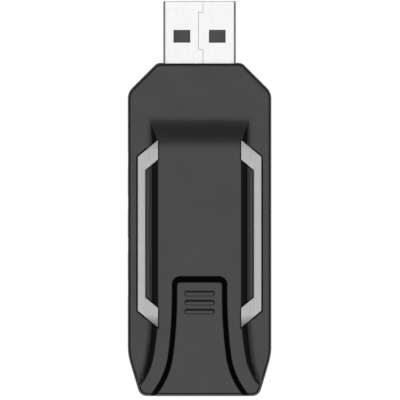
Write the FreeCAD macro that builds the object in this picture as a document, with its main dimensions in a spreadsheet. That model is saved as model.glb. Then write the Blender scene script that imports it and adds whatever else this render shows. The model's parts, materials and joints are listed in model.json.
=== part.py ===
import FreeCAD, Part
import Sketcher
import math
import os

# Wireless controller dongle lying on its rear face.
# The face with the raised spine and the button looks along +Z, the plug points along +Y and X is the width.
# The origin is the middle of the bottom of the whole part. Lengths are in millimetres, angles in degrees.

SIZES = {
    # Housing outline, seen from the front
    "housing_length": 55.0,
    "housing_width": 23.7,
    "shoulder_size": 4.85,
    "front_corner_radius": 1.4,
    "shoulder_radius": 2.4,
    "taper_length": 6.8,
    "tail_width": 19.64,
    "taper_radius": 10.0,
    "tail_corner_radius": 1.5,
    "least_corner_radius": 0.2,
    # Housing section
    "parting_height": 4.6,
    "spine_rise": 2.2,
    "side_draft": 2.5,
    "front_edge_radius": 0.45,
    "rear_edge_bevel": 0.6,
    "wall": 1.2,
    "floor": 1.2,
    "roof": 1.6,
    "lip_height": 0.8,
    "lip_clearance": 0.06,
    # Raised spine with its ramp and its flare at the tail
    "spine_width": 13.72,
    "spine_foot_width": 16.2,
    "spine_foot_radius": 1.1,
    "spine_top_wall": 1.3,
    "spine_side_wall": 1.3,
    "spine_cavity_distance": 7.1,
    "ramp_distance": 8.3,
    "ramp_length": 6.1,
    "ramp_angle": 35.0,
    "flare_start": 14.6,
    "flare_turn": 6.1,
    "flare_end": 1.5,
    "flare_first_angle": 11.1,
    "flare_end_angle": 43.0,
    "foot_first_angle": 8.1,
    "foot_end_angle": 26.0,
    # Shallow grips along the left side
    "grip_distance": 15.9,
    "grip_pitch": 7.1,
    "grip_length": 2.7,
    "grip_height": 1.6,
    "grip_depth": 0.3,
    # Pairing button and the well that it sits in
    "key_width": 7.48,
    "key_length": 18.8,
    "key_thickness": 1.3,
    "key_gap": 0.78,
    "key_end_gap": 0.96,
    "key_corner_radius": 0.55,
    "well_corner_radius": 1.3,
    "well_depth": 3.0,
    "key_flare_start": 16.6,
    "key_flare_turn": 6.6,
    "key_first_angle": 7.6,
    "key_end_angle": 40.0,
    "key_floor_gap": 0.25,
    "key_skirt": 1.2,
    "rib_length": 5.0,
    "rib_width": 0.9,
    "rib_pitch": 1.48,
    "rib_height": 0.22,
    "rib_end_radius": 0.35,
    "rib_inset": 1.9,
    "pivot_distance": 2.6,
    "pivot_radius": 0.5,
    "pivot_reach": 7.3,
    "pivot_clearance": 0.05,
    "cheek_width": 1.0,
    "cheek_place": 3.9,
    "cheek_length": 2.6,
    "nub_radius": 1.2,
    "nub_gap": 0.05,
    "nub_clearance": 0.5,
    # Bracket-shaped light pipes
    "strip_inset": 1.65,
    "strip_width": 1.26,
    "strip_distance": 15.5,
    "strip_length": 25.4,
    "strip_thickness": 0.9,
    "strip_proud": 0.06,
    "strip_clearance": 0.12,
    "strip_corner_radius": 0.25,
    "arm_angle": 40.0,
    "arm_height": 3.25,
    "arm_foot_inset": 3.2,
    "arm_foot_radius": 1.2,
    "guide_width": 1.0,
    "guide_length": 2.4,
    "guide_inset": 5.0,
    "guide_clearance": 0.1,
    # Plug
    "plug_width": 12.0,
    "plug_thickness": 4.5,
    "plug_reach": 10.2,
    "plug_inside": 8.2,
    "plug_headroom": 0.35,
    "plug_clearance": 0.05,
    "shell_sheet": 0.3,
    "shell_corner_radius": 0.55,
    "shell_tip_bevel": 0.12,
    "window_length": 2.03,
    "window_width": 2.7,
    "window_spacing": 5.84,
    "window_distance": 4.8,
    "seam_gap": 0.06,
    "seam_place": 0.56,
    "seam_tab_width": 0.74,
    "seam_tab_distance": 1.9,
    "seam_tab_length": 6.1,
    "shell_leg_width": 1.4,
    "shell_leg_inset": 5.0,
    "shell_leg_clearance": 0.1,
    "tongue_thickness": 1.9,
    "tongue_inset": 0.6,
    "insulator_clearance": 0.02,
    "insulator_block": 5.5,
    "contact_width": 1.0,
    "contact_thickness": 0.25,
    "contact_proud": 0.1,
    "contact_spacing": 2.5,
    "middle_contact_spacing": 2.0,
    "outer_contact_inset": 1.4,
    "inner_contact_inset": 2.4,
    "contact_foot": 1.2,
    "contact_bend_radius": 0.3,
    # Board and the pins that hold it
    "board_thickness": 1.0,
    "board_rest_height": 0.35,
    "board_clearance": 0.35,
    "post_radius": 1.4,
    "peg_radius": 0.7,
    "peg_height": 1.4,
    "peg_clearance": 0.1,
    "board_grip_gap": 0.05,
    "front_post_place": 7.6,
    "front_post_distance": 11.4,
    "rear_post_place": 7.2,
    "rear_post_distance": 8.6,
    # Push switch under the button
    "switch_width": 6.0,
    "switch_height": 3.1,
    "switch_cover_sheet": 0.25,
    "switch_clip_width": 3.0,
    "switch_clip_drop": 2.0,
    "switch_recess_radius": 2.3,
    "switch_recess_depth": 1.3,
    "plunger_radius": 1.7,
    "plunger_flange_radius": 2.1,
    "plunger_flange": 0.4,
    "plunger_float": 0.02,
    "plunger_height": 1.2,
    "plunger_clearance": 0.1,
    "dome_rise": 0.35,
    "dome_radius": 2.1,
    "dome_flat_radius": 0.8,
    "dome_sheet": 0.1,
    "terminal_length": 0.9,
    "terminal_width": 0.7,
    "terminal_spacing": 4.5,
    # Lamps
    "lamp_length": 2.0,
    "lamp_width": 1.25,
    "lamp_base": 0.3,
    "lamp_lens": 0.5,
    "lamp_lens_length": 1.3,
    "lamp_lens_width": 1.0,
    "lamp_gap": 0.2,
    # Small parts on the board
    "shield_gap": 1.0,
    "shield_headroom": 0.5,
    "shield_sheet": 0.2,
    "capacitor_width": 0.8,
    "capacitor_length": 1.6,
    "capacitor_height": 0.8,
    "resistor_width": 0.8,
    "resistor_length": 1.6,
    "resistor_height": 0.45,
    "controller_distance": 10.0,
    "memory_distance": 9.2,
    "memory_place": 6.0,
    "crystal_distance": 9.2,
    "crystal_place": 5.6,
    "regulator_place": 5.6,
    "inductor_place": 5.8,
    "radio_distance": 7.35,
    "antenna_distance": 5.2,
    "front_row_distance": 4.4,
    "rear_row_distance": 5.6,
    "row_place": 3.4,
    "row_pitch": 1.6,
    # How far every cutting shape reaches past what it cuts
    "overrun": 1.0,
}

# Width, length and height of each package on the board
PACKAGES = {
    "controller_chip": (6.0, 6.0, 0.85),
    "memory_chip": (3.0, 4.0, 0.75),
    "clock_crystal": (2.5, 3.2, 0.8),
    "voltage_regulator": (3.0, 2.6, 1.0),
    "power_inductor": (3.0, 3.0, 1.5),
    "radio_chip": (4.0, 4.0, 0.85),
    "chip_antenna": (6.5, 2.2, 1.1),
}
for name, sizes in PACKAGES.items():
    for size_name, size in zip(("width", "length", "height"), sizes):
        SIZES[f"{name}_{size_name}"] = size

doc = FreeCAD.newDocument("wireless_controller_dongle")
sheet = doc.addObject("Spreadsheet::Sheet", "Sizes")
for row, (alias, size) in enumerate(SIZES.items(), 1):
    sheet.set(f"A{row}", alias)
    sheet.set(f"B{row}", str(size))
    sheet.setAlias(f"B{row}", alias)
doc.recompute()

# Levels and planes that follow from the sizes
PLACES = {
    "tip_y": "(Sizes.housing_length + Sizes.plug_reach) / 2",
    "tail_y": "-(Sizes.housing_length + Sizes.plug_reach) / 2",
    "front_y": "(Sizes.housing_length - Sizes.plug_reach) / 2",
    "side_x": "Sizes.housing_width / 2",
    "taper_angle": "atan((Sizes.housing_width - Sizes.tail_width) / 2 / Sizes.taper_length) / 1deg",
    "board_bottom": "Sizes.floor + Sizes.board_rest_height",
    "board_top": "board_bottom + Sizes.board_thickness",
    "plug_bottom": "board_top",
    "plug_top": "plug_bottom + Sizes.plug_thickness",
    "ceiling": "plug_top + Sizes.plug_headroom",
    "deck": "ceiling + Sizes.roof",
    "spine_top": "deck + Sizes.spine_rise",
    "spine_slope": "atan(Sizes.spine_rise / ((Sizes.spine_foot_width - Sizes.spine_width) / 2)) / 1deg",
    "ramp_foot_y": "front_y - Sizes.ramp_distance",
    "well_floor": "spine_top - Sizes.well_depth",
    "well_end_y": "tail_y + Sizes.key_length + Sizes.key_end_gap",
    "key_underside": "spine_top - Sizes.key_thickness",
    "key_bottom": "well_floor + Sizes.key_floor_gap",
    "rib_middle_y": "tail_y + Sizes.key_length - Sizes.rib_inset - Sizes.rib_pitch",
    "pivot_y": "tail_y + Sizes.pivot_distance",
    "pivot_z": "key_bottom + Sizes.pivot_radius",
    "strip_front_y": "front_y - Sizes.strip_distance",
    "strip_rear_y": "strip_front_y - Sizes.strip_length",
    "strip_top": "deck + Sizes.strip_proud",
    "shell_rear_y": "front_y - Sizes.plug_inside",
    "tongue_bottom": "plug_top - Sizes.shell_sheet - Sizes.insulator_clearance - Sizes.tongue_thickness",
    "switch_top": "board_top + Sizes.switch_height + Sizes.switch_cover_sheet",
    "plunger_top": "switch_top + Sizes.plunger_height",
    "lamp_x": "side_x - Sizes.strip_inset - Sizes.strip_width / 2",
    "front_lamp_y": "strip_front_y - Sizes.guide_inset",
    "rear_lamp_y": "strip_rear_y + Sizes.guide_inset",
    "lamp_top": "board_top + Sizes.lamp_base + Sizes.lamp_lens",
    "controller_y": "shell_rear_y - Sizes.controller_distance",
    "radio_y": "rib_middle_y + Sizes.radio_distance",
    "shield_front_y": "radio_y + Sizes.radio_chip_length / 2 + Sizes.shield_gap + Sizes.shield_sheet",
    "front_row_y": "shell_rear_y - Sizes.front_row_distance",
    "middle_row_y": "(controller_y - Sizes.controller_chip_length / 2 + shield_front_y) / 2",
    "rear_row_y": "rib_middle_y - Sizes.rear_row_distance",
}
places = doc.addObject("App::VarSet", "Places")
for name, expression in PLACES.items():
    places.addProperty("App::PropertyFloat", name, "Places")
    places.setExpression(name, expression)
doc.recompute()


# How near two levels have to be to count as the same
TOLERANCE = 1e-5


def number(expression):
    """The present value of an expression, without its unit."""
    result = sheet.evalExpression(expression)
    return float(getattr(result, "Value", result))


# Outlines

class Corner:
    """One vertex of a closed outline. Its place and radii are expressions.

    radius rounds the vertex. arc bends the edge from this vertex to the next, turning left or right.
    """

    def __init__(self, x, y, radius=None, arc=None, turn="left"):
        self.x, self.y = x, y
        self.radius = radius
        self.arc, self.turn = arc, turn

    def point(self):
        return FreeCAD.Vector(number(self.x), number(self.y), 0)


def mirrored(right):
    """The right half of an outline, listed from its front to its tail, and the left half that mirrors it."""
    left = [Corner(f"-({c.x})", c.y, c.radius) for c in reversed(right)]
    arcs = [(c.arc, c.turn) for c in right[:-1]]
    for corner, (arc, turn) in zip(left, reversed(arcs)):
        corner.arc, corner.turn = arc, turn
    return right + left


def rectangle(x_from, x_to, y_from, y_to, radius=None):
    return [Corner(x, y, radius) for x, y in
            ((x_to, y_to), (x_to, y_from), (x_from, y_from), (x_from, y_to))]


def round_edge(centre, first, last, radius, left_turn):
    """An arc from first to last; the second value says which of its ends is first."""
    angles = [math.atan2(p.y - centre.y, p.x - centre.x) for p in (first, last)]
    begin, end = angles if left_turn else reversed(angles)
    end = begin + (end - begin) % (2 * math.pi)
    circle = Part.Circle(centre, FreeCAD.Vector(0, 0, 1), radius)
    return Part.ArcOfCircle(circle, begin, end), (1, 2) if left_turn else (2, 1)


def bind(sketch, kind, references, expression):
    """Adds a driving constraint whose value follows the expression."""
    index = sketch.addConstraint(Sketcher.Constraint(kind, *references, number(expression)))
    sketch.setExpression(f"Constraints[{index}]", expression)


def bind_point(sketch, geometry, end, corner):
    bind(sketch, "DistanceX", (-1, 1, geometry, end), corner.x)
    bind(sketch, "DistanceY", (-1, 1, geometry, end), corner.y)


def draw_loop(sketch, corners):
    """Draws a closed outline of lines and arcs, fully constrained by the corners' expressions."""
    points = [corner.point() for corner in corners]
    count = len(corners)
    starts, stops, rounds = list(points), list(points), {}
    for i, corner in enumerate(corners):
        if corner.radius is None:
            continue
        before = (points[i - 1] - points[i]).normalize()
        after = (points[(i + 1) % count] - points[i]).normalize()
        half_angle = before.getAngle(after) / 2
        radius = number(corner.radius)
        stops[i] = points[i] + before * (radius / math.tan(half_angle))
        starts[i] = points[i] + after * (radius / math.tan(half_angle))
        centre = points[i] + (before + after).normalize() * (radius / math.sin(half_angle))
        left_turn = before.cross(after).z < 0
        rounds[i] = round_edge(centre, stops[i], starts[i], radius, left_turn)
    edges = []
    for i, corner in enumerate(corners):
        first, last = starts[i], stops[(i + 1) % count]
        if corner.arc is None:
            edges.append((sketch.addGeometry(Part.LineSegment(first, last), False), (1, 2)))
            continue
        radius = number(corner.arc)
        chord = last - first
        side = FreeCAD.Vector(-chord.y, chord.x, 0).normalize() * (1 if corner.turn == "left" else -1)
        centre = (first + last) / 2 + side * math.sqrt(radius ** 2 - (chord.Length / 2) ** 2)
        arc, ends = round_edge(centre, first, last, radius, corner.turn == "left")
        index = sketch.addGeometry(arc, False)
        edges.append((index, ends))
        bind(sketch, "Radius", (index,), corner.arc)
    for i, corner in enumerate(corners):
        (before, before_ends), (after, after_ends) = edges[i - 1], edges[i]
        if i in rounds:
            arc, ends = rounds[i]
            index = sketch.addGeometry(arc, False)
            vertex = sketch.addGeometry(Part.Point(points[i]), True)
            sketch.addConstraint(Sketcher.Constraint("Tangent", before, before_ends[1], index, ends[0]))
            sketch.addConstraint(Sketcher.Constraint("Tangent", after, after_ends[0], index, ends[1]))
            sketch.addConstraint(Sketcher.Constraint("PointOnObject", vertex, 1, before))
            sketch.addConstraint(Sketcher.Constraint("PointOnObject", vertex, 1, after))
            bind(sketch, "Radius", (index,), corner.radius)
            bind_point(sketch, vertex, 1, corner)
        else:
            sketch.addConstraint(
                Sketcher.Constraint("Coincident", before, before_ends[1], after, after_ends[0]))
            bind_point(sketch, after, after_ends[0], corner)


# Building blocks

def new_body(name):
    return doc.addObject("PartDesign::Body", name)


def add_sketch(body, name, plane, offset, *loops):
    """A sketch on one of the body's own origin planes, moved along that plane's normal by offset."""
    sketch = body.newObject("Sketcher::SketchObject", name)
    support = [f for f in body.Origin.OriginFeatures if f.Role == plane][0]
    sketch.AttachmentSupport = [(support, "")]
    sketch.MapMode = "FlatFace"
    sketch.setExpression("AttachmentOffset.Base.z", offset)
    for loop in loops:
        draw_loop(sketch, loop)
    return sketch


def add_pad(body, sketch, length, reverse=False, midplane=False):
    pad = body.newObject("PartDesign::Pad", sketch.Name + "_pad")
    pad.Profile = sketch
    pad.setExpression("Length", length)
    pad.Reversed = reverse
    if midplane:
        pad.SideType = "Symmetric"
    doc.recompute()
    return pad


def add_pocket(body, sketch, length, reverse=False, midplane=False):
    before = body.Shape.Volume
    pocket = body.newObject("PartDesign::Pocket", sketch.Name + "_pocket")
    pocket.Profile = sketch
    pocket.setExpression("Length", length)
    pocket.Reversed = reverse
    if midplane:
        pocket.SideType = "Symmetric"
    doc.recompute()
    if body.Shape.Volume > before - TOLERANCE:
        raise RuntimeError(f"{pocket.Name} cuts nothing")
    return pocket


def names_of(shape, kind, wanted):
    """The names of a shape's edges or faces for which wanted is true."""
    items = shape.Edges if kind == "Edge" else shape.Faces
    return [f"{kind}{i}" for i, item in enumerate(items, 1) if wanted(item)]


def is_level(edge, height):
    return all(abs(vertex.Z - height) < TOLERANCE for vertex in edge.Vertexes)


def add_fillet(body, radius, wanted):
    base = body.Tip
    fillet = body.newObject("PartDesign::Fillet", body.Name + "_fillet")
    fillet.Base = (base, names_of(base.Shape, "Edge", wanted))
    fillet.setExpression("Radius", radius)
    doc.recompute()
    return fillet


def add_chamfer(body, size, wanted):
    base = body.Tip
    chamfer = body.newObject("PartDesign::Chamfer", body.Name + "_chamfer")
    chamfer.Base = (base, names_of(base.Shape, "Edge", wanted))
    chamfer.setExpression("Size", size)
    doc.recompute()
    return chamfer


def add_draft(body, level, reverse=False):
    """Drafts every upright face, which keeps its size at the given level."""
    base = body.Tip
    draft = body.newObject("PartDesign::Draft", body.Name + "_draft")
    upright = names_of(base.Shape, "Face", lambda face: abs(face.normalAt(0, 0).z) < 0.1)
    neutral = names_of(base.Shape, "Face",
                       lambda face: all(abs(v.Z - level) < TOLERANCE for v in face.Vertexes))
    draft.Base = (base, upright)
    draft.NeutralPlane = (base, neutral[:1])
    draft.setExpression("Angle", "Sizes.side_draft")
    draft.Reversed = reverse
    doc.recompute()
    return draft


def bind_place(item, x, y, z):
    for axis, expression in zip("xyz", (x, y, z)):
        item.setExpression(f"Placement.Base.{axis}", expression)


def box(name, x, y, z):
    """A block whose three ranges are pairs of expressions."""
    item = doc.addObject("Part::Box", name)
    for size, (low, high) in zip(("Length", "Width", "Height"), (x, y, z)):
        item.setExpression(size, f"({high}) - ({low})")
    bind_place(item, x[0], y[0], z[0])
    return item


def around(middle, width):
    """The range of the given width about its middle."""
    return f"({middle}) - ({width}) / 2", f"({middle}) + ({width}) / 2"


def upright_cylinder(name, radius, x, y, z):
    item = doc.addObject("Part::Cylinder", name)
    item.setExpression("Radius", radius)
    item.setExpression("Height", f"({z[1]}) - ({z[0]})")
    bind_place(item, x, y, z[0])
    return item


def cross_cylinder(name, radius, x, y, z):
    """A cylinder along X."""
    item = doc.addObject("Part::Cylinder", name)
    item.Placement.Rotation = FreeCAD.Rotation(FreeCAD.Vector(0, 1, 0), 90)
    item.setExpression("Radius", radius)
    item.setExpression("Height", f"({x[1]}) - ({x[0]})")
    bind_place(item, x[0], y, z)
    return item


def fuse(name, items):
    item = doc.addObject("Part::MultiFuse", name)
    item.Shapes = items
    item.Refine = True
    return item


def cut(name, base, tools):
    item = doc.addObject("Part::Cut", name)
    item.Base = base
    item.Tool = tools[0] if len(tools) == 1 else fuse(name + "_cuts", tools)
    item.Refine = True
    return item


def common(name, items):
    item = doc.addObject("Part::MultiCommon", name)
    item.Shapes = items
    return item


def group(name, items):
    item = doc.addObject("Part::Compound", name)
    item.Links = items
    return item


NODES = []


def node(item, label):
    """Marks an object as a finished piece."""
    item.Label = label
    NODES.append(item)
    return item


# Shapes that several pieces share

def housing_outline(inset="0"):
    """The housing's outline in plan, moved inwards by inset."""
    side = f"(Places.side_x - {inset})"
    front = f"(Places.front_y - {inset})"
    tail = f"(Places.tail_y + {inset})"
    diagonal = f"(Places.side_x + Places.front_y - Sizes.shoulder_size - sqrt(2) * {inset})"
    taper_y = f"(Places.tail_y + Sizes.taper_length + {inset} * tan(Places.taper_angle / 2))"
    tail_x = f"(Sizes.tail_width / 2 - {inset} * tan(45 - Places.taper_angle / 2))"
    points = ((f"{diagonal} - {front}", front, "front_corner"), (side, f"{diagonal} - {side}", "shoulder"),
              (side, taper_y, "taper"), (tail_x, tail, "tail_corner"))
    return mirrored([Corner(x, y, f"max(Sizes.least_corner_radius; Sizes.{name}_radius - {inset})")
                     for x, y, name in points])


def flared_side(half_width, start, turn, end, first_angle, end_angle, offset="0"):
    """The right side of a shape that widens towards the tail in two arcs, then runs straight past the tail.

    start, turn and end are the arcs' ends, as distances from the tail. offset moves the side outwards.
    """
    first_radius = f"(({start} - {turn}) / sin({first_angle}))"
    end_radius = f"(({turn} - {end}) / (sin({end_angle}) - sin({first_angle})))"
    turn_x = f"({half_width} + {first_radius} * (1 - cos({first_angle})))"
    end_x = f"({turn_x} + {end_radius} * (cos({first_angle}) - cos({end_angle})))"
    return [
        Corner(f"{half_width} + {offset}", f"Places.tail_y + {start}", arc=f"{first_radius} - {offset}"),
        Corner(f"{turn_x} + {offset} * cos({first_angle})",
               f"Places.tail_y + {turn} + {offset} * sin({first_angle})", arc=f"{end_radius} - {offset}"),
        Corner(f"{end_x} + {offset} * cos({end_angle})",
               f"Places.tail_y + {end} + {offset} * sin({end_angle})"),
        Corner(f"{end_x} + {offset} * cos({end_angle}) + ({end} + Sizes.overrun + {offset}"
               f" * sin({end_angle})) * tan({end_angle})", "Places.tail_y - Sizes.overrun"),
    ]


def spine_outline(half_width, first_angle, end_angle, offset="0"):
    side = flared_side(half_width, "Sizes.flare_start", "Sizes.flare_turn", "Sizes.flare_end",
                       first_angle, end_angle, offset)
    return mirrored([Corner(f"{half_width} + {offset}", "Places.ramp_foot_y + Sizes.overrun")] + side)


def key_outline(end_y, offset, corner_radius):
    half_width = "(Sizes.key_width / 2)"
    side = flared_side(half_width, "Sizes.key_flare_start", "Sizes.key_flare_turn", "0",
                       "Sizes.key_first_angle", "Sizes.key_end_angle", offset)
    return mirrored([Corner(f"{half_width} + {offset}", end_y, corner_radius)] + side)


def outline_form(name, top):
    """The housing above the parting line up to a flat top with rounded edges."""
    body = new_body(name)
    outline = add_sketch(body, name + "_outline", "XY_Plane", "Sizes.parting_height", housing_outline())
    add_pad(body, outline, f"{top} - Sizes.parting_height")
    add_draft(body, number("Sizes.parting_height"))
    add_fillet(body, "Sizes.front_edge_radius", lambda edge: is_level(edge, number(top)))
    return body


def post_places():
    """The name, x and y of each of the four pins that hold the board."""
    rows = (("front", "Sizes.front_post_place", "Places.front_y - Sizes.front_post_distance"),
            ("rear", "Sizes.rear_post_place", "Places.tail_y + Sizes.rear_post_distance"))
    for row, place, y in rows:
        yield "left_" + row, f"-{place}", y
        yield "right_" + row, place, y


def lamp_places():
    for row in ("front", "rear"):
        yield "left_" + row, "-Places.lamp_x", f"Places.{row}_lamp_y"
        yield "right_" + row, "Places.lamp_x", f"Places.{row}_lamp_y"


def grip_cutter():
    """Four shallow grips that straddle the parting line on the left side."""
    grips = []
    for i in range(4):
        middle = f"Places.front_y - Sizes.grip_distance - {i} * Sizes.grip_pitch"
        grips.append(box(f"grip_{i + 1}",
                         ("-Places.side_x - Sizes.overrun", "-Places.side_x + Sizes.grip_depth"),
                         around(middle, "Sizes.grip_length"),
                         around("Sizes.parting_height", "Sizes.grip_height")))
    return fuse("grip_cutter", grips)


def mouth_cutter():
    """The opening in the front wall that the plug passes through."""
    body = new_body("mouth_cutter")
    gap = "Sizes.plug_clearance"
    section = rectangle(f"-Sizes.plug_width / 2 - {gap}", f"Sizes.plug_width / 2 + {gap}",
                        f"Places.plug_bottom - {gap}", f"Places.plug_top + {gap}",
                        f"Sizes.shell_corner_radius + {gap}")
    sketch = add_sketch(body, "mouth_section", "XZ_Plane", "-Places.front_y - Sizes.overrun", section)
    add_pad(body, sketch, "Sizes.wall + 2 * Sizes.overrun")
    return body


# Spine: a wall lofted through sections that widen to its foot and hollow where it meets the deck,
# with a ramp cut at its front

def build_spine():
    body = new_body("spine_form")
    radius, slope = "Sizes.spine_foot_radius", "Places.spine_slope"
    reach = f"({radius} * tan({slope} / 2))"
    sections = []
    for name, rise, spread in (
            ("foot", "0", reach),
            ("hollow", f"({radius} * (1 - cos({slope} / 2)))", f"({reach} * (1 - cos({slope} / 2)))"),
            ("wall", f"({reach} * sin({slope}))", f"(-{reach} * cos({slope}))"),
            ("top", "Sizes.spine_rise", "((Sizes.spine_width - Sizes.spine_foot_width) / 2)")):
        share = f"({rise} / Sizes.spine_rise)"
        outline = spine_outline(
            f"(Sizes.spine_foot_width / 2 + {spread})",
            f"(Sizes.foot_first_angle + {share} * (Sizes.flare_first_angle - Sizes.foot_first_angle))",
            f"(Sizes.foot_end_angle + {share} * (Sizes.flare_end_angle - Sizes.foot_end_angle))")
        sections.append(add_sketch(body, f"spine_{name}", "XY_Plane", f"Places.deck + {rise}", outline))
    add_pad(body, sections[0], "Places.deck - Sizes.parting_height", reverse=True)
    loft = body.newObject("PartDesign::AdditiveLoft", "spine_loft")
    loft.Profile = sections[0]
    loft.Sections = sections[1:]
    loft.Ruled = True
    doc.recompute()
    run = "(Sizes.spine_rise / tan(Sizes.ramp_angle))"
    tangent = f"((Sizes.ramp_length - {run}) / 2)"
    radius = f"{tangent} / tan(Sizes.ramp_angle / 2)"
    foot_corner, top_corner = (f"Places.ramp_foot_y - {tangent}",
                               f"Places.ramp_foot_y - Sizes.ramp_length + {tangent}")
    ahead, above = "Places.ramp_foot_y + 2 * Sizes.overrun", "Places.spine_top + Sizes.overrun"
    behind = "Places.ramp_foot_y - Sizes.ramp_length - Sizes.overrun"
    ramp = add_sketch(body, "ramp", "YZ_Plane", "0", [
        Corner(behind, "Places.spine_top"), Corner(top_corner, "Places.spine_top", radius),
        Corner(foot_corner, "Places.deck", radius), Corner(ahead, "Places.deck"),
        Corner(ahead, above), Corner(behind, above)])
    add_pocket(body, ramp, "Sizes.housing_width", midplane=True)
    return body


# Pairing button: a flared key that tilts on two pins near the tail and carries three grip ribs

def build_pairing_button(crown):
    deep = new_body("key_form")
    plan = add_sketch(deep, "key_plan", "XY_Plane", "Places.key_bottom",
                      key_outline("Places.tail_y + Sizes.key_length", "0", "Sizes.key_corner_radius"))
    add_pad(deep, plan, "Sizes.well_depth")
    trimmed = common("key_trimmed", [deep, crown])
    hollow = box("key_hollow", ("-Places.side_x", "Places.side_x"),
                 ("Places.tail_y + Sizes.key_skirt", "Places.tip_y"),
                 ("Places.key_bottom - Sizes.overrun", "Places.key_underside"))
    plate = cut("key_plate", trimmed, [hollow])
    cheeks, pins = [], []
    for name, sign in (("left", -1), ("right", 1)):
        middle = f"{sign} * (Sizes.cheek_place + Sizes.cheek_width / 2)"
        cheeks.append(box(f"{name}_cheek", around(middle, "Sizes.cheek_width"),
                          ("Places.tail_y + Sizes.key_skirt", "Places.pivot_y + Sizes.cheek_length / 2"),
                          ("Places.key_bottom", "Places.key_underside")))
        along = around(f"{sign} * (Sizes.cheek_place + Sizes.pivot_reach) / 2",
                       "Sizes.pivot_reach - Sizes.cheek_place")
        pins.append(cross_cylinder(f"{name}_pivot_pin", "Sizes.pivot_radius", along,
                                   "Places.pivot_y", "Places.pivot_z"))
    nub = upright_cylinder("nub", "Sizes.nub_radius", "0", "Places.rib_middle_y",
                           ("Places.plunger_top + Sizes.nub_gap", "Places.key_underside"))
    button = fuse("button_whole", [plate, *cheeks, *pins, nub, *build_ribs()])
    return node(button, "pairing_button")


def build_ribs():
    """Three raised ribs with round ends across the button's free end."""
    ribs = []
    for i in range(3):
        body = new_body(f"rib_{i + 1}")
        middle = f"(Places.rib_middle_y + {1 - i} * Sizes.rib_pitch)"
        outline = rectangle("-Sizes.rib_length / 2", "Sizes.rib_length / 2",
                            f"{middle} - Sizes.rib_width / 2", f"{middle} + Sizes.rib_width / 2",
                            "Sizes.rib_end_radius")
        sketch = add_sketch(body, f"rib_{i + 1}_plan", "XY_Plane", "Places.key_underside", outline)
        add_pad(body, sketch, "Sizes.key_thickness + Sizes.rib_height")
        ribs.append(body)
    return ribs


# Light pipes: flat bracket-shaped strips in the deck, whose arms climb the spine's wall to its top edge

def strip_outline(side, gap="0"):
    """The bracket in plan for the left (-1) or right (1) side, widened all round by gap."""
    outer = f"(Places.side_x - Sizes.strip_inset + {gap})"
    inner = f"(Places.side_x - Sizes.strip_inset - Sizes.strip_width - {gap})"
    end = f"(Sizes.spine_width / 2 - {gap})"
    bend = "(Places.side_x - Sizes.strip_inset)"
    spread = f"{gap} / cos(Sizes.arm_angle)"

    def front(x):
        return f"(Places.strip_front_y + ({bend} - {x}) * tan(Sizes.arm_angle) + {spread})"

    def rear(x):
        return f"(Places.strip_rear_y - ({bend} - {x}) * tan(Sizes.arm_angle) - {spread})"

    drop = f"(Sizes.arm_height + 2 * {spread})"
    radius = "Sizes.strip_corner_radius"
    corners = [(end, front(end), None), (outer, front(outer), radius), (outer, rear(outer), radius),
               (end, rear(end), None), (end, f"{rear(end)} + {drop}", None),
               (inner, f"{rear(inner)} + {drop}", radius), (inner, f"{front(inner)} - {drop}", radius),
               (end, f"{front(end)} - {drop}", None)]
    return [Corner(x if side > 0 else f"-({x})", y, r) for x, y, r in corners]


def band_outline(side, upper=None):
    """The strip's section across the housing: flat on the deck, then rising to the spine's top edge.

    upper replaces the strip's own surface by a level above it.
    """
    end, foot = "(Sizes.spine_width / 2 - Sizes.overrun)", "(Places.side_x - Sizes.arm_foot_inset)"
    outer = "(Places.side_x - Sizes.strip_inset + Sizes.overrun)"
    climb = "(Places.spine_top - Places.strip_top)"
    rise = f"({climb} * ({foot} - {end}) / ({foot} - Sizes.spine_width / 2))"
    low = "Places.strip_top - Sizes.strip_thickness"
    corners = [(end, f"{low} + {rise}", None), (foot, low, "Sizes.arm_foot_radius"), (outer, low, None)]
    if upper:
        corners += [(outer, upper, None), (end, upper, None)]
    else:
        corners += [(outer, "Places.strip_top", None), (foot, "Places.strip_top", "Sizes.arm_foot_radius"),
                    (end, f"Places.strip_top + {rise}", None)]
    return [Corner(x if side > 0 else f"-({x})", z, r) for x, z, r in corners]


def strip_form(name, side, gap="0", upper=None):
    """The bracket cut out of the strip's band."""
    plan = new_body(name + "_plan")
    outline = add_sketch(plan, name + "_bracket", "XY_Plane", "Places.ceiling", strip_outline(side, gap))
    add_pad(plan, outline, "Sizes.roof + Sizes.spine_rise + Sizes.overrun")
    band = new_body(name + "_band")
    section = add_sketch(band, name + "_section", "XZ_Plane", "0", band_outline(side, upper))
    add_pad(band, section, "Sizes.housing_length + Sizes.plug_reach", midplane=True)
    return common(name, [plan, band])


def guide(name, x, y, bottom, gap="0"):
    """A leg that carries light up from a lamp to the strip."""
    return box(name, around(x, f"Sizes.guide_width + 2 * {gap}"),
               around(y, f"Sizes.guide_length + 2 * {gap}"),
               (bottom, "Places.strip_top - Sizes.strip_thickness / 2"))


def build_light_pipes():
    for label, side in (("left", -1), ("right", 1)):
        legs = [guide(f"{name}_guide", x, y, "Places.lamp_top + Sizes.lamp_gap")
                for name, x, y in lamp_places() if name.startswith(label)]
        pipe = fuse(f"{label}_pipe_whole", [strip_form(f"{label}_strip", side), *legs])
        node(pipe, f"{label}_light_pipe")


# Covers

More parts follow.
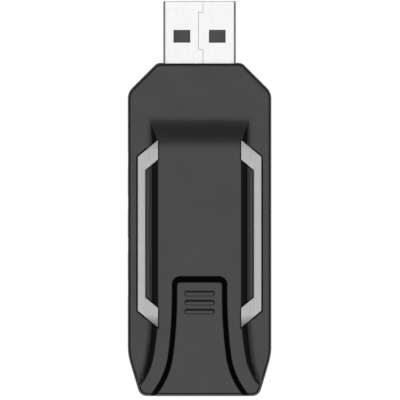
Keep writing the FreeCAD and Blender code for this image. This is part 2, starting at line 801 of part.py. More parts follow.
def build_front_cover(crown, mouth, grips):
    deck = outline_form("deck_form", "Places.deck")
    spine = common("spine_trimmed", [build_spine(), crown])
    blank = fuse("front_blank", [deck, spine])
    cavity = new_body("front_cavity")
    inside = add_sketch(cavity, "front_inside", "XY_Plane", "Sizes.parting_height",
                        housing_outline("Sizes.wall"))
    add_pad(cavity, inside, "Places.ceiling - Sizes.parting_height")
    rebate = new_body("lip_rebate")
    step = add_sketch(rebate, "rebate_outline", "XY_Plane", "Sizes.parting_height",
                      housing_outline("(Sizes.wall / 2)"))
    add_pad(rebate, step, "Sizes.lip_height + Sizes.lip_clearance")
    half_spine = "Sizes.spine_width / 2 - Sizes.spine_side_wall"
    attic = box("spine_cavity", (f"-({half_spine})", half_spine),
                ("Places.well_end_y + Sizes.spine_side_wall",
                 "Places.ramp_foot_y - Sizes.spine_cavity_distance"),
                ("Places.ceiling - Sizes.overrun", "Places.spine_top - Sizes.spine_top_wall"))
    hollow = cut("front_hollow", blank, [cavity, rebate, attic])
    posts = [upright_cylinder(f"{name}_post", "Sizes.post_radius", x, y,
                              ("Places.board_top + Sizes.board_grip_gap", "Places.ceiling + Sizes.roof / 2"))
             for name, x, y in post_places()]
    carcass = fuse("front_carcass", [hollow, *posts])
    well = new_body("key_well")
    well_plan = add_sketch(well, "well_plan", "XY_Plane", "Places.well_floor",
                           key_outline("Places.well_end_y", "Sizes.key_gap", "Sizes.well_corner_radius"))
    add_pad(well, well_plan, "Sizes.well_depth + Sizes.overrun")
    nub_hole = upright_cylinder("nub_hole", "Sizes.nub_radius + Sizes.nub_clearance",
                                "0", "Places.rib_middle_y",
                                ("Places.ceiling - Sizes.overrun", "Places.well_floor + Sizes.overrun"))
    reach = "Sizes.pivot_reach + 2 * Sizes.pivot_clearance"
    pivot_hole = cross_cylinder("pivot_hole", "Sizes.pivot_radius + Sizes.pivot_clearance",
                                (f"-({reach})", reach), "Places.pivot_y", "Places.pivot_z")
    pockets = [strip_form(f"{label}_strip_pocket", side, "Sizes.strip_clearance",
                          "Places.spine_top + Sizes.overrun")
               for label, side in (("left", -1), ("right", 1))]
    guide_holes = [guide(f"{name}_guide_hole", x, y, "Places.ceiling - Sizes.overrun",
                         "Sizes.guide_clearance")
                   for name, x, y in lamp_places()]
    bores = [upright_cylinder(f"{name}_bore", "Sizes.peg_radius + Sizes.peg_clearance", x, y,
                              ("Places.board_top",
                               "Places.board_top + Sizes.peg_height + Sizes.peg_clearance"))
             for name, x, y in post_places()]
    front = cut("front_whole", carcass, [well, nub_hole, pivot_hole, *pockets, *guide_holes, *bores,
                                         mouth, grips])
    node(front, "front_cover")


def build_rear_cover(mouth, grips):
    shell = new_body("rear_shell")
    outline = add_sketch(shell, "rear_outline", "XY_Plane", "Sizes.parting_height", housing_outline())
    add_pad(shell, outline, "Sizes.parting_height", reverse=True)
    add_draft(shell, number("Sizes.parting_height"), reverse=True)
    add_chamfer(shell, "Sizes.rear_edge_bevel", lambda edge: is_level(edge, 0))
    inside = add_sketch(shell, "rear_inside", "XY_Plane", "Sizes.parting_height",
                        housing_outline("Sizes.wall"))
    add_pocket(shell, inside, "Sizes.parting_height - Sizes.floor")
    lip = add_sketch(shell, "lip", "XY_Plane", "Sizes.parting_height",
                     housing_outline("(Sizes.wall / 2 + Sizes.lip_clearance)"), housing_outline("Sizes.wall"))
    add_pad(shell, lip, "Sizes.lip_height")
    rests, pegs = [], []
    for name, x, y in post_places():
        rests.append(upright_cylinder(f"{name}_rest", "Sizes.post_radius", x, y,
                                      ("Sizes.floor / 2", "Places.board_bottom")))
        pegs.append(upright_cylinder(f"{name}_peg", "Sizes.peg_radius", x, y,
                                     ("Sizes.floor", "Places.board_top + Sizes.peg_height")))
    filled = fuse("rear_filled", [shell, *rests, *pegs])
    node(cut("rear_whole", filled, [mouth, grips]), "rear_cover")


# Plug: a shell folded from sheet steel round a moulded tongue with four contacts

def plug_section(inset, radius, bottom="Places.plug_bottom"):
    half = f"(Sizes.plug_width / 2 - {inset})"
    return rectangle(f"-{half}", half, f"{bottom} + {inset}", f"Places.plug_top - {inset}", radius)


def build_plug_shell():
    tube = new_body("shell_tube")
    sheet_in = "Sizes.shell_sheet"
    section = add_sketch(tube, "shell_section", "XZ_Plane", "-Places.tip_y",
                         plug_section("0", "Sizes.shell_corner_radius"),
                         plug_section(sheet_in, f"Sizes.shell_corner_radius - {sheet_in}"))
    add_pad(tube, section, "Sizes.plug_reach + Sizes.plug_inside")
    tip = number("Places.tip_y")
    half = number("Sizes.plug_width / 2 - Sizes.shell_sheet / 2")
    low = number("Places.plug_bottom + Sizes.shell_sheet / 2")
    high = number("Places.plug_top - Sizes.shell_sheet / 2")

    def is_outer_tip(edge):
        middle = edge.valueAt((edge.FirstParameter + edge.LastParameter) / 2)
        outside = abs(middle.x) > half or not low < middle.z < high
        return outside and all(abs(vertex.Y - tip) < TOLERANCE for vertex in edge.Vertexes)

    add_chamfer(tube, "Sizes.shell_tip_bevel", is_outer_tip)
    legs = []
    for name, sign in (("left", -1), ("right", 1)):
        middle = f"{sign} * (Sizes.plug_width - Sizes.shell_sheet) / 2"
        legs.append(box(f"{name}_shell_leg", around(middle, "Sizes.shell_sheet"),
                        around("Places.front_y - Sizes.shell_leg_inset", "Sizes.shell_leg_width"),
                        ("Places.board_bottom - Sizes.shell_leg_clearance",
                         "Places.plug_bottom + 2 * Sizes.shell_corner_radius")))
    windows = [box(f"{name}_windows", around(f"{sign}Sizes.window_spacing / 2", "Sizes.window_width"),
                   ("Places.tip_y - Sizes.window_distance - Sizes.window_length",
                    "Places.tip_y - Sizes.window_distance"),
                   ("Places.plug_bottom - Sizes.overrun", "Places.plug_top + Sizes.overrun"))
               for name, sign in (("left", "-"), ("right", ""))]
    folded = fuse("shell_folded", [tube, *legs])
    node(cut("shell_whole", folded, [*windows, build_seam()]), "plug_shell")


def build_seam():
    """The open joint between the sheet's two edges, which steps sideways round an interlocking tab."""
    body = new_body("shell_seam")
    half = "Sizes.seam_gap / 2"
    outer, inner = "Sizes.seam_place", "(Sizes.seam_place - Sizes.seam_tab_width)"
    tab_front = "(Places.tip_y - Sizes.seam_tab_distance)"
    tab_rear = f"({tab_front} - Sizes.seam_tab_length)"
    front_end, rear_end = "Places.tip_y + Sizes.overrun", "Places.shell_rear_y - Sizes.overrun"
    right = [Corner(f"{outer} + {half}", front_end), Corner(f"{outer} + {half}", f"{tab_front} - {half}"),
             Corner(f"{inner} + {half}", f"{tab_front} - {half}"),
             Corner(f"{inner} + {half}", f"{tab_rear} + {half}"),
             Corner(f"{outer} + {half}", f"{tab_rear} + {half}"), Corner(f"{outer} + {half}", rear_end)]
    left = [Corner(f"{outer} - {half}", rear_end), Corner(f"{outer} - {half}", f"{tab_rear} - {half}"),
            Corner(f"{inner} - {half}", f"{tab_rear} - {half}"),
            Corner(f"{inner} - {half}", f"{tab_front} + {half}"),
            Corner(f"{outer} - {half}", f"{tab_front} + {half}"), Corner(f"{outer} - {half}", front_end)]
    sketch = add_sketch(body, "seam_plan", "XY_Plane", "Places.plug_top - 2 * Sizes.shell_sheet",
                        right + left)
    add_pad(body, sketch, "3 * Sizes.shell_sheet")
    return body


def contact_places():
    """The name, x and distance from the plug's tip of each contact."""
    inner = "Sizes.middle_contact_spacing / 2"
    outer = f"({inner} + Sizes.contact_spacing)"
    across = (f"-{outer}", f"-{inner}", inner, outer)
    insets = ("outer", "inner", "inner", "outer")
    for i, (x, row) in enumerate(zip(across, insets), 1):
        yield f"plug_contact_{i}", x, f"Sizes.{row}_contact_inset"


def build_plug_insulator():
    body = new_body("insulator_form")
    gap = "(Sizes.shell_sheet + Sizes.insulator_clearance)"
    radius = "Sizes.shell_corner_radius - Sizes.shell_sheet"
    block = add_sketch(body, "insulator_block", "XZ_Plane", "-Places.shell_rear_y - Sizes.insulator_block",
                       plug_section(gap, radius))
    add_pad(body, block, "Sizes.insulator_block")
    half = f"(Sizes.plug_width / 2 - {gap})"
    tongue = add_sketch(body, "tongue_section", "XZ_Plane", "-Places.tip_y + Sizes.tongue_inset",
                        rectangle(f"-{half}", half, "Places.tongue_bottom", f"Places.plug_top - {gap}",
                                  radius))
    add_pad(body, tongue, "Sizes.plug_reach + Sizes.plug_inside - Sizes.tongue_inset")
    channels = [box(f"{name}_channel", around(x, "Sizes.contact_width + 2 * Sizes.insulator_clearance"),
                    ("Places.shell_rear_y - Sizes.overrun",
                     f"Places.tip_y - {inset} + Sizes.insulator_clearance"),
                    ("Places.tongue_bottom - Sizes.contact_proud - Sizes.insulator_clearance",
                     "Places.tongue_bottom - Sizes.contact_proud + Sizes.contact_thickness"))
                for name, x, inset in contact_places()]
    node(cut("insulator_whole", body, channels), "plug_insulator")


def build_plug_contacts():
    """Four strips that run under the tongue, through the block, and bend down to feet on the board."""
    sheet_in, radius = "Sizes.contact_thickness", "Sizes.contact_bend_radius"
    low = "(Places.tongue_bottom - Sizes.contact_proud)"
    bend = f"(Places.shell_rear_y - {sheet_in} - {radius})"
    for name, x, inset in contact_places():
        body = new_body(name + "_strip")
        front = f"Places.tip_y - {inset}"
        foot = f"{bend} - Sizes.contact_foot"
        outline = [Corner(front, f"{low} + {sheet_in}"), Corner(front, low),
                   Corner(f"{bend} + {sheet_in}", low),
                   Corner(f"{bend} + {sheet_in}", "Places.board_top", radius),
                   Corner(foot, "Places.board_top"), Corner(foot, f"Places.board_top + {sheet_in}"),
                   Corner(bend, f"Places.board_top + {sheet_in}"),
                   Corner(bend, f"{low} + {sheet_in}", radius)]
        sketch = add_sketch(body, name + "_profile", "YZ_Plane", x, outline)
        add_pad(body, sketch, "Sizes.contact_width", midplane=True)
        node(body, name)


# Board with everything on it

def build_circuit_board():
    body = new_body("board_form")
    outline = add_sketch(body, "board_outline", "XY_Plane", "Places.board_bottom",
                         housing_outline("(Sizes.wall + Sizes.board_clearance)"))
    add_pad(body, outline, "Sizes.board_thickness")
    through = ("Places.board_bottom - Sizes.overrun", "Places.board_top + Sizes.overrun")
    holes = [upright_cylinder(f"{name}_hole", "Sizes.peg_radius + Sizes.peg_clearance", x, y, through)
             for name, x, y in post_places()]
    gap = "Sizes.shell_leg_clearance"
    for name, sign in (("left", "-"), ("right", "")):
        middle = f"{sign}(Sizes.plug_width - Sizes.shell_sheet) / 2"
        holes.append(box(f"{name}_leg_slot", around(middle, f"Sizes.shell_sheet + 2 * {gap}"),
                         around("Places.front_y - Sizes.shell_leg_inset",
                                f"Sizes.shell_leg_width + 2 * {gap}"),
                         through))
    node(cut("board_whole", body, holes), "circuit_board")


def build_switch():
    width, y = "Sizes.switch_width", "Places.rib_middle_y"
    base_top = "(Places.board_top + Sizes.switch_height)"
    block = box("switch_block", around("0", width), around(y, width), ("Places.board_top", base_top))
    recess = upright_cylinder("switch_recess", "Sizes.switch_recess_radius", "0", y,
                              (f"{base_top} - Sizes.switch_recess_depth", f"{base_top} + Sizes.overrun"))
    node(cut("switch_block_open", block, [recess]), "switch_base")
    plate = box("switch_plate", around("0", width), around(y, width), (base_top, "Places.switch_top"))
    clips = []
    for name, edge in (("front", f"({y} + ({width} + Sizes.switch_cover_sheet) / 2)"),
                       ("rear", f"({y} - ({width} + Sizes.switch_cover_sheet) / 2)")):
        clips.append(box(f"{name}_clip", around("0", "Sizes.switch_clip_width"),
                         around(edge, "Sizes.switch_cover_sheet"),
                         (f"{base_top} - Sizes.switch_clip_drop", "Places.switch_top")))
    hole = upright_cylinder("plunger_hole", "Sizes.plunger_radius + Sizes.plunger_clearance", "0", y,
                            (f"{base_top} - Sizes.overrun", "Places.switch_top + Sizes.overrun"))
    node(cut("switch_cover_whole", fuse("switch_cover_plate", [plate, *clips]), [hole]), "switch_cover")
    flange_top = f"({base_top} - Sizes.plunger_float)"
    stem = upright_cylinder("plunger_stem", "Sizes.plunger_radius", "0", y,
                            (f"{flange_top} - Sizes.plunger_flange", "Places.plunger_top"))
    flange = upright_cylinder("plunger_collar", "Sizes.plunger_flange_radius", "0", y,
                              (f"{flange_top} - Sizes.plunger_flange", flange_top))
    node(fuse("plunger_whole", [stem, flange]), "switch_plunger")
    node(build_dome(f"({base_top} - Sizes.switch_recess_depth)"), "switch_dome")
    terminals = []
    for i, (sx, sy) in enumerate(((-1, -1), (-1, 1), (1, -1), (1, 1)), 1):
        middle = f"{sx} * ({width} + Sizes.terminal_length) / 2"
        terminals.append(box(f"switch_terminal_{i}", around(middle, "Sizes.terminal_length"),
                             around(f"{y} + {sy} * Sizes.terminal_spacing / 2", "Sizes.terminal_width"),
                             ("Places.board_top", "Places.board_top + Sizes.contact_thickness")))
    node(group("switch_terminal_group", terminals), "switch_terminals")


def build_dome(floor):
    """The snap disc: a dished disc of thin steel with a flat middle, which stands on its rim."""
    body = new_body("dome_form")
    radius, rise, sheet_in = "Sizes.dome_radius", "Sizes.dome_rise", "Sizes.dome_sheet"
    flat = "Sizes.dome_flat_radius"
    sketch = add_sketch(body, "dome_profile", "XZ_Plane", "-Places.rib_middle_y", [
        Corner("0", f"{floor} + {rise}"), Corner(flat, f"{floor} + {rise}"), Corner(radius, floor),
        Corner(f"{radius} - 2 * {sheet_in}", floor), Corner(flat, f"{floor} + {rise} - {sheet_in}"),
        Corner("0", f"{floor} + {rise} - {sheet_in}")])
    turn = body.newObject("PartDesign::Revolution", "dome_turn")
    turn.Profile = sketch
    turn.ReferenceAxis = (sketch, ["V_Axis"])
    turn.Angle = 360
    doc.recompute()
    return body


def build_lamps():
    """Small lamps on the board, one under each leg of the light pipes."""
    for name, x, y in lamp_places():
        carrier_top = "(Places.board_top + Sizes.lamp_base)"
        carrier = box(f"{name}_lamp_base", around(x, "Sizes.lamp_width"), around(y, "Sizes.lamp_length"),
                      ("Places.board_top", carrier_top))
        lens = box(f"{name}_lamp_lens", around(x, "Sizes.lamp_lens_width"),
                   around(y, "Sizes.lamp_lens_length"), (carrier_top, "Places.lamp_top"))
        node(fuse(f"{name}_lamp_whole", [carrier, lens]), f"{name}_lamp")


def on_board(name, x, y, width, length, height):
    return box(name, around(x, width), around(y, length),
               ("Places.board_top", f"Places.board_top + {height}"))


def build_packages():
    """The chips that stand round the plug's rear end, the switch and the tail."""
    places = {
        "controller_chip": ("0", "Places.controller_y"),
        "memory_chip": ("-Sizes.memory_place", "Places.shell_rear_y - Sizes.memory_distance"),
        "clock_crystal": ("Sizes.crystal_place", "Places.shell_rear_y - Sizes.crystal_distance"),
        "voltage_regulator": ("-Sizes.regulator_place", "Places.middle_row_y"),
        "power_inductor": ("Sizes.inductor_place", "Places.middle_row_y"),
        "radio_chip": ("0", "Places.radio_y"),
        "chip_antenna": ("0", "Places.tail_y + Sizes.antenna_distance"),
    }
    for name, (x, y) in places.items():
        sizes = (f"Sizes.{name}_{size}" for size in ("width", "length", "height"))
        node(on_board(name + "_package", x, y, *sizes), name)


def build_radio_shield():
    """A can folded from thin sheet over the radio chip, soldered down by its rim."""
    width, length = (f"(Sizes.radio_chip_{size} + 2 * Sizes.shield_gap)" for size in ("width", "length"))
    height, sheet_in = "(Sizes.radio_chip_height + Sizes.shield_headroom)", "Sizes.shield_sheet"
    can = on_board("shield_can", "0", "Places.radio_y", f"{width} + 2 * {sheet_in}",
                   f"{length} + 2 * {sheet_in}", f"{height} + {sheet_in}")
    room = box("shield_room", around("0", width), around("Places.radio_y", length),
               ("Places.board_top - Sizes.overrun", f"Places.board_top + {height}"))
    node(cut("shield_whole", can, [room]), "radio_shield")


def build_passives():
    """Capacitors and resistors in three rows across the board, mirrored about its middle."""
    for kind, place in (("capacitor", "Sizes.row_place"),
                        ("resistor", "(Sizes.row_place - Sizes.row_pitch)")):
        items = []
        for row in ("front", "middle", "rear"):
            for name, sign in (("left", "-"), ("right", "")):
                items.append(on_board(f"{name}_{row}_{kind}", f"{sign}{place}", f"Places.{row}_row_y",
                                      *(f"Sizes.{kind}_{size}" for size in ("width", "length", "height"))))
        node(group(f"{kind}_group", items), f"{kind}s")


def build_all():
    crown = outline_form("crown_form", "Places.spine_top")
    mouth, grips = mouth_cutter(), grip_cutter()
    build_front_cover(crown, mouth, grips)
    build_rear_cover(mouth, grips)
    build_pairing_button(crown)
    build_light_pipes()
    build_plug_shell()
    build_plug_insulator()
    build_plug_contacts()
    build_circuit_board()
    build_switch()
    build_lamps()
    build_packages()
    build_radio_shield()
    build_passives()
    doc.recompute()


def check_all():
    """Stops before anything is written if an object failed or a piece has no sound solid."""
    failed = [item.Name for item in doc.Objects if {"Invalid", "Error"} & set(item.State)]
    if failed:
        raise RuntimeError("failed objects: " + ", ".join(failed))
    for piece in NODES:
        if piece.Shape.isNull() or not piece.Shape.isValid() or not piece.Shape.Solids:
            raise RuntimeError(f"{piece.Label} has no sound solid")


build_all()
check_all()
os.makedirs("parts", exist_ok=True)
for piece in NODES:
    piece.Shape.exportStep(f"parts/{piece.Label}.step")
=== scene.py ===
import json
import math

import bmesh
import bpy
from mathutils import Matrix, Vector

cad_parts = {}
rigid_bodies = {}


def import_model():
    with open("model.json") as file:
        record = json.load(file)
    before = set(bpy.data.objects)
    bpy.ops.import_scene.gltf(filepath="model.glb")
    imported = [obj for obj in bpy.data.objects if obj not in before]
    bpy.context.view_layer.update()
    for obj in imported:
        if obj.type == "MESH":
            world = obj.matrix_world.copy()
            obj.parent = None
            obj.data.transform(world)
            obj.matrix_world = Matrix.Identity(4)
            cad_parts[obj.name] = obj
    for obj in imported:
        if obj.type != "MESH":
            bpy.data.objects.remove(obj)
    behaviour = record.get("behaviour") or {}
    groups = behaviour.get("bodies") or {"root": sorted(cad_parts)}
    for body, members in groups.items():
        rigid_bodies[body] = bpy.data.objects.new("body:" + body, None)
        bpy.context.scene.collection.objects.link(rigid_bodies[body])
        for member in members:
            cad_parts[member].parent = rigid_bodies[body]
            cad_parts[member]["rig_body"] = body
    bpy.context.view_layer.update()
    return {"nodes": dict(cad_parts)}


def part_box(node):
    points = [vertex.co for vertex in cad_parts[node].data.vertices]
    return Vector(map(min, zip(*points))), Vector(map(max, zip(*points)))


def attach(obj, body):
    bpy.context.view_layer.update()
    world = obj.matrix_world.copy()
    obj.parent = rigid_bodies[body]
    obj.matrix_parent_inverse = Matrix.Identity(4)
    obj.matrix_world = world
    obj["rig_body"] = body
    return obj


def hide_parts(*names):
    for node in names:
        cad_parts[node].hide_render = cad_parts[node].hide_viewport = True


bl_info = {
    "name": "Wireless controller dongle",
    "version": (1, 0, 0),
    "blender": (4, 5, 0),
    "location": "View3D > Sidebar > Dongle",
    "description": "Finishes a plug-in dongle with a raised spine, two light pipes and a ribbed button",
    "category": "Object",
}

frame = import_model()
cover_low, cover_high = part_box("front_cover")
button_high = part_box("pairing_button")[1]
pipes = [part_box("left_light_pipe"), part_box("right_light_pipe")]
pipes_low, pipes_high = pipes[0][0], pipes[1][1]

MM = 0.001
PARTING = 4.6 * MM
SPINE_RISE = 2.2 * MM
RIB_HEIGHT = 0.22 * MM
RIB_STEPS = (0.06, 0.08, 0.1, 0.12)
CONTACTS = 4
tail, top = cover_low.y, cover_high.z
deck, rim = top - SPINE_RISE, button_high.z - RIB_HEIGHT

# Small distances: where points merge, what counts as level, and the least rise of a dome
MERGE_DISTANCE = 0.001 * MM
SHORTEST = 0.015 * MM
LEVEL = 0.01 * MM
PARTING_REACH = 0.02 * MM
LEAST_RISE = 0.02 * MM

# Bands along the walls, corners and slots, seen from above
SIDE_BAND = 1.25 * MM
TAIL_MARGIN = 1.0 * MM
RIM_REACH = 0.25 * MM
RIM_BAND = 0.6 * MM
CORNER_BAND = 3.2 * MM
CORNER_INSET = 3.65 * MM
WELL_GAP = 0.2 * MM
SLOT_MARGIN = 0.8 * MM
SEAM_BAND = 1.4 * MM

# Heights above or below the deck, the button's rim or the rear face, and the least area of the deck
FLARE_FOOT = 0.55 * MM
HOLLOW_TOP = 0.8 * MM
CORNER_RISE = 1.5 * MM
POCKET_DEPTH = 0.2 * MM
KEY_DEPTH = 0.3 * MM
REAR_BAND = 0.8 * MM
DECK_AREA = 20 * MM ** 2

# Angles between two faces
FLAT_ANGLE = math.radians(0.2)
EDGE_ANGLE = math.radians(33)
CHAMFER_ANGLE = math.radians(50)
HOLLOW_ANGLES = (math.radians(20), math.radians(38))

# How far up a face looks, from 0 for a wall to 1 for a floor; the ribs' two are for tail and plug sides
UPRIGHT = 0.1
WALL = 0.2
SLOPE = (0.3, 0.7)
LOOKS_UP = 0.5
RAMP_STEEP = 0.66
STEEP = 0.74
OUTER_STEEP = 0.89
RIB_STEEP = (0.82, 0.96)
FLOOR = 0.99

# Places of a cover's finishes in its list of materials; the second is a darker copy of the plastic that
# paints shade on steep walls, pockets and gaps
ROUNDED, SHADED, TEXTURED = 1, 2, 3

# The values of a pattern between which its effect goes from none to full
NOISE_RANGE = (0.3, 0.7)
EDGE_TURN = (0.995, 0.86)
RUB_PATCHES = (0.42, 0.62)
SLIDING_MARKS = (0.68, 0.74)
DUST_SPECKS = (0.09, 0.03)
DUST_TILT = (0.3, 0.9)
SIDE_SHADE_TURN = (0.17, 0.71)
COPPER_RUNS = (0.16, 0.11)
COPPER_POUR = (0.5, 0.52)
EPOXY_SPECKS = (0.66, 0.74)
CERAMIC_SPECKS = (0.6, 0.72)

# Shares, rates and sizes inside the patterns that materials share
FINE_SHARE = 0.6
PIT_SHARE = 0.5
PIT_RATE = 0.6
MOTTLE_RATE = 0.03
RUB_PATCH = 1.2 * MM
MARK_RATE = 0.7
DUST_SIZE = 0.9 * MM
DUST_COLOUR = (0.35, 0.34, 0.32)

# How much rubbing, scratches, specks, weave and first-pin marks change a finish
RUB_POLISH = 0.12
RUB_TARNISH = 0.5
SCRATCH_MATT = 0.1
SCRATCH_DEPTH = 0.8
POUR_SHARE = 0.5
BOARD_MATT = 0.28
RIM_MATT = 0.5
WEAVE_DEPTH = 0.4
EPOXY_SPECK = 0.05 * MM
EPOXY_SPECK_SHARE = 0.5
CERAMIC_SPECK = 0.04 * MM
CERAMIC_SPECK_SHARE = 0.4
MARK_DEPTH = 3.0
MARK_POLISH = 0.25

# The light pipes' painted light: how far out the arms start, where a painted highlight makes them paler, how
# far from each end a painted shade darkens them, and by how much
ARM_HIGHLIGHT_START = (8.9 * MM, 8.3 * MM)
TAIL_PAINTED_SHADE = (2.1 * MM, 0.5 * MM, 0.7)
PLUG_PAINTED_SHADE = (1.7 * MM, 0.3 * MM, 0.36)

# The board's copper and the packages' first-pin marks
RUN_PITCH = 1.3 * MM
POUR_SIZE = 5 * MM
MASK_SKIN = 0.04 * MM
WEAVE_PITCH = 0.6 * MM
MARK_INSET = 0.5 * MM
MARK_RADII = (0.24 * MM, 0.2 * MM)

# The stage
FLOOR_GAP = 0.02 * MM
FLOOR_GLOW = 1.1
FLOOR_GLOW_SHARE = 0.87
CAMERA_HEIGHT = 0.3
CAMERA_RANGE = (0.001, 20.0)


def length(name, description, default, low=0.0, high=1.0):
    """A property that holds a length in metres."""
    return bpy.props.FloatProperty(name=name, description=description, default=default, min=low, max=high,
                                   precision=6, subtype="DISTANCE", unit="LENGTH")


def share(name, description, default, high=1.0):
    """A property that holds a plain share or strength."""
    return bpy.props.FloatProperty(name=name, description=description, default=default, min=0.0, max=high,
                                   precision=3, subtype="FACTOR")


def colour(name, description, default):
    """A property that holds a linear colour."""
    return bpy.props.FloatVectorProperty(name=name, description=description, default=default, size=3,
                                         min=0.0, max=1.0, subtype="COLOR")


class DongleCovers(bpy.types.PropertyGroup):
    """Sizes and finish of the two covers."""
    plastic: colour("Plastic", "Colour of the black moulding", (0.0138, 0.0138, 0.0142))
    roughness: share("Roughness", "How matt the moulding is", 0.42)
    refraction: share("Refraction", "Refractive index of the plastic", 1.585, 2.0)
    grain: length("Grain", "Size of the moulded grain", 0.00014)
    grain_depth: length("Grain depth", "Depth of the moulded grain", 0.0000035)
    side: colour("Side", "Colour of the textured side walls", (0.055, 0.055, 0.0565))
    side_gloss: share("Side gloss", "Specular level of the side walls and of the rounded edges", 0.06)
    # Painted shade: the steep walls and pockets take this darker colour.
    pocket: colour("Pocket", "Colour of the shaded walls and pockets", (0.0045, 0.0045, 0.0048))
    pocket_gloss: share("Pocket gloss", "Specular level of the shaded walls and pockets", 0.05)
    edge: length("Edge", "Width of the softened edges", 0.00012)
    foot: length("Foot", "Width of the rounding in the hollow at the spine's foot", 0.00045)
    slot_rim: length("Slot rim", "Width of the rounding along the light pipes' slots", 0.00021)
    rounding: length("Rounding", "Reach of the fine rounding that the finish gives every edge", 0.0003)
    parting_edge: length("Parting edge", "Width of the rounding along the parting line", 0.00008)
    rear_edge: length("Rear edge", "Width of the rounding on the rear edge", 0.0002)


class DongleButton(bpy.types.PropertyGroup):
    """Sizes and finish of the ribbed button."""
    edge: length("Edge", "Width of the softened edges", 0.00012)
    rib_width: length("Rib width", "Width over which each rib is domed", 0.0009)


class DonglePipes(bpy.types.PropertyGroup):
    """Sizes and finish of the light pipes."""
    resin: colour("Resin", "Colour of the frosted resin", (0.52, 0.52, 0.524))
    roughness: share("Roughness", "How matt the light pipes are", 0.34)
    edge: length("Edge", "Width of the softened edges", 0.00012)


class DonglePlug(bpy.types.PropertyGroup):
    """Sizes and finish of the plug."""
    steel: colour("Steel", "Colour of the shell's bright steel", (0.7, 0.703, 0.707))
    roughness: share("Roughness", "How matt the steel is", 0.24)
    edge: length("Edge", "Width of the softened edges of the windows", 0.00008)
    insulator: colour("Insulator", "Colour of the insulator", (0.03, 0.03, 0.031))
    contact: colour("Contact", "Colour of the plated contacts", (0.83, 0.62, 0.28))


class DongleBoard(bpy.types.PropertyGroup):
    """Finish of the circuit board and of what it carries."""
    mask: colour("Mask", "Colour of the solder mask", (0.012, 0.11, 0.045))
    fibre: colour("Fibre", "Colour of the laminate's rim", (0.42, 0.36, 0.18))
    package: colour("Package", "Colour of the moulded packages", (0.02, 0.02, 0.021))
    can: colour("Can", "Colour of the stamped cans", (0.7, 0.7, 0.69))
    ceramic: colour("Ceramic", "Colour of the ceramic parts", (0.5, 0.4, 0.28))
    lamp: colour("Lamp", "Colour of the lamps' resin", (0.9, 0.86, 0.62))


class DongleSwitch(bpy.types.PropertyGroup):
    """Finish of the push switch."""
    base: colour("Base", "Colour of the switch's base and plunger", (0.03, 0.03, 0.032))
    cover: colour("Cover", "Colour of the switch's sheet metal", (0.72, 0.71, 0.69))


class DongleStage(bpy.types.PropertyGroup):
    """The floor, the lamp, the surroundings and the camera."""
    view_width: length("View width", "Width of the camera's view", 0.066)
    view_x: length("View X", "Middle of the view across the dongle", 0.00007, -1.0)
    view_y: length("View Y", "Middle of the view along the dongle", -0.00024, -1.0)
    floor_size: length("Floor size", "Width of the square floor", 6.0, 0.0, 20.0)
    floor: colour("Floor", "Colour of the floor", (0.8, 0.8, 0.8))
    lamp_width: length("Lamp width", "Width of the overhead lamp", 1.0, 0.0, 5.0)
    lamp_length: length("Lamp length", "Length of the overhead lamp", 1.4, 0.0, 5.0)
    lamp_height: length("Lamp height", "Height of the overhead lamp", 0.36, 0.0, 5.0)
    lamp_shift: length("Lamp shift", "How far the lamp stands towards the tail", 0.53, -5.0, 5.0)
    lamp_level: share("Lamp level", "Brightness of the lamp's surface, where 1 shows as white", 1.17, 5.0)
    surround: share("Surround", "Brightness that the surroundings throw on the dongle", 0.18, 5.0)


# Node trees
def connect(tree, socket, value):
    """Feeds a socket from another node's output, or gives it a plain value."""
    if isinstance(value, bpy.types.NodeSocket):
        tree.links.new(value, socket)
    elif hasattr(socket.default_value, "__len__") and len(socket.default_value) == 4 and len(value) == 3:
        socket.default_value = (*value, 1.0)
    else:
        socket.default_value = value


def add_node(tree, kind, feeds=None, **settings):
    """A new node with its settings, and its inputs fed by name or number."""
    made = tree.nodes.new(kind)
    for name, value in settings.items():
        setattr(made, name, value)
    for key, value in (feeds or {}).items():
        connect(tree, made.inputs[key], value)
    return made


def compute(tree, operation, first, second=0.0, clamp=False):
    """The output of a Math node."""
    return add_node(tree, "ShaderNodeMath", {0: first, 1: second},
                    operation=operation, use_clamp=clamp).outputs[0]


def blend_colours(tree, factor, first, second):
    """The output of a Mix node that blends two colours."""
    made = add_node(tree, "ShaderNodeMix", data_type="RGBA")
    for name, value in (("Factor_Float", factor), ("A_Color", first), ("B_Color", second)):
        socket = next(s for s in made.inputs if s.identifier == name)
        connect(tree, socket, value)
    return next(s for s in made.outputs if s.identifier == "Result_Color")


def multiply(tree, first, second, clamp=False):
    """The product of two values."""
    return compute(tree, "MULTIPLY", first, second, clamp)


def spread(tree, value, low, high, to_low=0.0, to_high=1.0):
    """A value moved from one range to another, and held inside it."""
    return add_node(tree, "ShaderNodeMapRange",
                    {"Value": value, "From Min": low, "From Max": high, "To Min": to_low, "To Max": to_high},
                    clamp=True).outputs[0]


def noise(tree, vector, frequency, detail, roughness=0.5):
    """Noise with about this many patches a metre."""
    return add_node(tree, "ShaderNodeTexNoise", {"Vector": vector, "Scale": frequency, "Detail": detail,
                                                 "Roughness": roughness}).outputs[0]


def axis(tree, vector, name):
    """One axis of a vector."""
    return add_node(tree, "ShaderNodeSeparateXYZ", {0: vector}).outputs[name]


def object_normal(tree):
    """The way the surface faces, in the piece's own axes."""
    return add_node(tree, "ShaderNodeTexCoord").outputs["Normal"]


def object_place(tree, stretch=(1.0, 1.0, 1.0), origin=(0.0, 0.0, 0.0)):
    """The place on the piece, measured from origin and stretched along each axis."""
    place = add_node(tree, "ShaderNodeTexCoord").outputs["Object"]
    moved = add_node(tree, "ShaderNodeVectorMath", {0: place, 1: origin}, operation="SUBTRACT").outputs[0]
    return add_node(tree, "ShaderNodeVectorMath", {0: moved, 1: stretch}, operation="MULTIPLY").outputs[0]


def scale_colour(tint, gain, lift=0.0):
    """A colour multiplied by gain and raised by lift."""
    return tuple(min(1.0, gain * part + lift) for part in tint)


